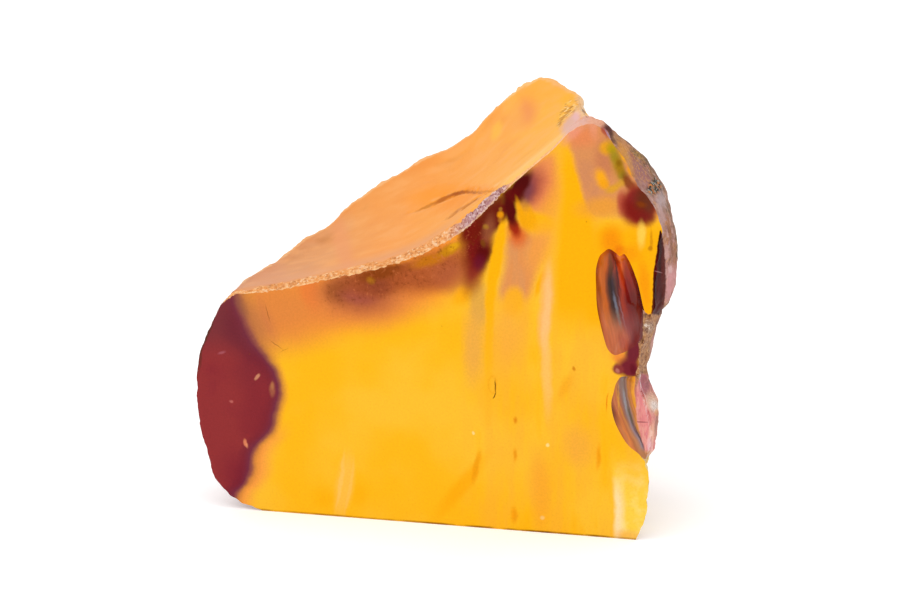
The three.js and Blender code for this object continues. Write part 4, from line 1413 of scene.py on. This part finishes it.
def sorted_faces(points, faces):
    """Which material each triangle has."""
    normal, _ = face_normals(points, faces)
    middle = points[faces].mean(axis=1)
    u, y, _ = middle.T
    far = np.abs(points[faces]).max(1)
    flat_front, flat_base = [(normal[:, a] < -0.999) & (far[:, a] < FLAT) for a in (1, 2)]
    part = parts_of(middle, normal)
    kind = np.full(len(faces), RIND)
    kind[part["back"] > 0.5] = BROKEN_BACK
    kind[(part["top"] > 0.5) | (part["chipped"] > 0.4)] = BROKEN_TOP
    kind[(part["crack"] < 1.5) & (y > 6)] = BROKEN_TOP
    front = middle[:, ::2]
    kind[(part["upper"] > 0.5) & (depth_inside(front, UPPER_SCAR) > -0.15)] = UPPER
    kind[(part["lower"] > 0.5) & (depth_inside(front, LOWER_SCAR) > -0.15)] = LOWER
    kind[(depth_inside(front, CRUMBLED) > -0.1) & (u > 72.5)] = RIND
    kind[flat_base] = SAWN_BASE
    kind[flat_front] = SAWN_FACE
    return kind


def make_stone():
    """The finished stone, standing for the CAD stone."""
    mesh = shaped()
    points, faces = arrays(mesh)
    normals = point_normals(points, faces)
    part = parts_of(points, normals)
    # how far each point lies in a hollow or on a crest, which the materials use to paint shade into hollows
    # and highlight onto crests
    part["hollow"] = bend_of(points, faces)
    for name in ("chipped", "rim", "to_arris", "hollow"):
        values = mesh.attributes.new(name, "FLOAT", "POINT")
        values.data.foreach_set("value", np.ascontiguousarray(part[name], np.float32))
    kind = sorted_faces(points, faces)
    group = jasper_pattern()
    mesh.materials.append(sawn_face(group))
    mesh.materials.append(broken_top())
    mesh.materials.append(rind())
    mesh.materials.append(upper_scar())
    mesh.materials.append(lower_scar())
    mesh.materials.append(sawn_base(group))
    mesh.materials.append(broken_back(group))
    mesh.polygons.foreach_set("material_index", kind.astype(np.int32))
    mesh.polygons.foreach_set("use_smooth", (kind != SAWN_FACE) & (kind != SAWN_BASE))
    move(mesh, points / MM + np.array(LOW))
    mesh.set_sharp_from_angle(angle=math.radians(SHARP_ANGLE))
    mesh.name = "mookaite"
    stone = placed("mookaite", mesh)
    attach(stone, "root")
    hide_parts(NODE)


# ---------------- the studio

FLOOR_GAP = 0.00002     # the floor lies this far under the stone, in metres
FLOOR_GLOW = 0.2
AROUND = 1.0            # strength of the light from all round
LAMPS = (("overhead", 2.2, 0.9, (-0.15, -0.35, 1.0)), ("front", 1.2, 0.8, (-0.5, -0.9, 0.45)))
LIT_POINT = (0, 0, 0.03)
CAMERA_TURN = 14.6      # degrees to the right of the sawn front
CAMERA_HEIGHT = 13.0    # degrees above the floor
CAMERA_AWAY = 0.45
LENS = 115.2
AIM = (42.0, 0.0, 36.7)    # the place in the middle of the picture, in millimetres


def turned(direction):
    """How a lamp or camera is turned to look along a direction."""
    return direction.to_track_quat("-Z", "Y").to_euler()


def make_floor():
    """A plain white table."""
    work = bmesh.new()
    bmesh.ops.create_grid(work, x_segments=2, y_segments=2, size=4.0)
    mesh = bpy.data.meshes.new("floor")
    work.to_mesh(mesh)
    work.free()
    floor = placed("floor", mesh)
    floor.location.z = -FLOOR_GAP
    made, shader, place = material("white_table")
    fine = place.grain(40, 2, seed=99).fade(0.3, 0.7)
    colour = fine.pick((0.9, 0.9, 0.9, 1), (0.93, 0.93, 0.93, 1))
    finish_surface(shader, colour, 0.9, place.grain(3, 2, seed=98), 0.02, 0.1)
    shader.inputs["Emission Color"].default_value = (1, 1, 1, 1)
    shader.inputs["Emission Strength"].default_value = FLOOR_GLOW
    mesh.materials.append(made)


def make_light():
    """Soft white light from all round, a little stronger from above."""
    world = bpy.data.worlds.new("studio")
    world.use_nodes = True
    background = world.node_tree.nodes["Background"]
    background.inputs["Color"].default_value = (1, 1, 1, 1)
    background.inputs["Strength"].default_value = AROUND
    bpy.context.scene.world = world
    for name, power, size, spot in LAMPS:
        lamp = bpy.data.lights.new(name, "AREA")
        lamp.shape = "SQUARE"
        lamp.size = size
        lamp.energy = power
        holder = placed(name, lamp)
        holder.location = spot
        holder.rotation_euler = turned(Vector(LIT_POINT) - Vector(spot))


def make_camera():
    """A long lens a little above the stone and to its right."""
    turn, height = math.radians(CAMERA_TURN), math.radians(CAMERA_HEIGHT)
    back = Vector((math.sin(turn) * math.cos(height), -math.cos(turn) * math.cos(height), math.sin(height)))
    lens = bpy.data.cameras.new("camera")
    lens.lens = LENS
    lens.sensor_width = 36.0
    lens.clip_start = 0.01
    lens.clip_end = 20.0
    camera = placed("camera", lens)
    camera.location = Vector([LOW[a] + AIM[a] / MM for a in range(3)]) + back * CAMERA_AWAY
    camera.rotation_euler = turned(-back)
    bpy.context.scene.camera = camera
    bpy.context.scene.view_settings.view_transform = "Standard"


make_stone()
make_floor()
make_light()
make_camera()
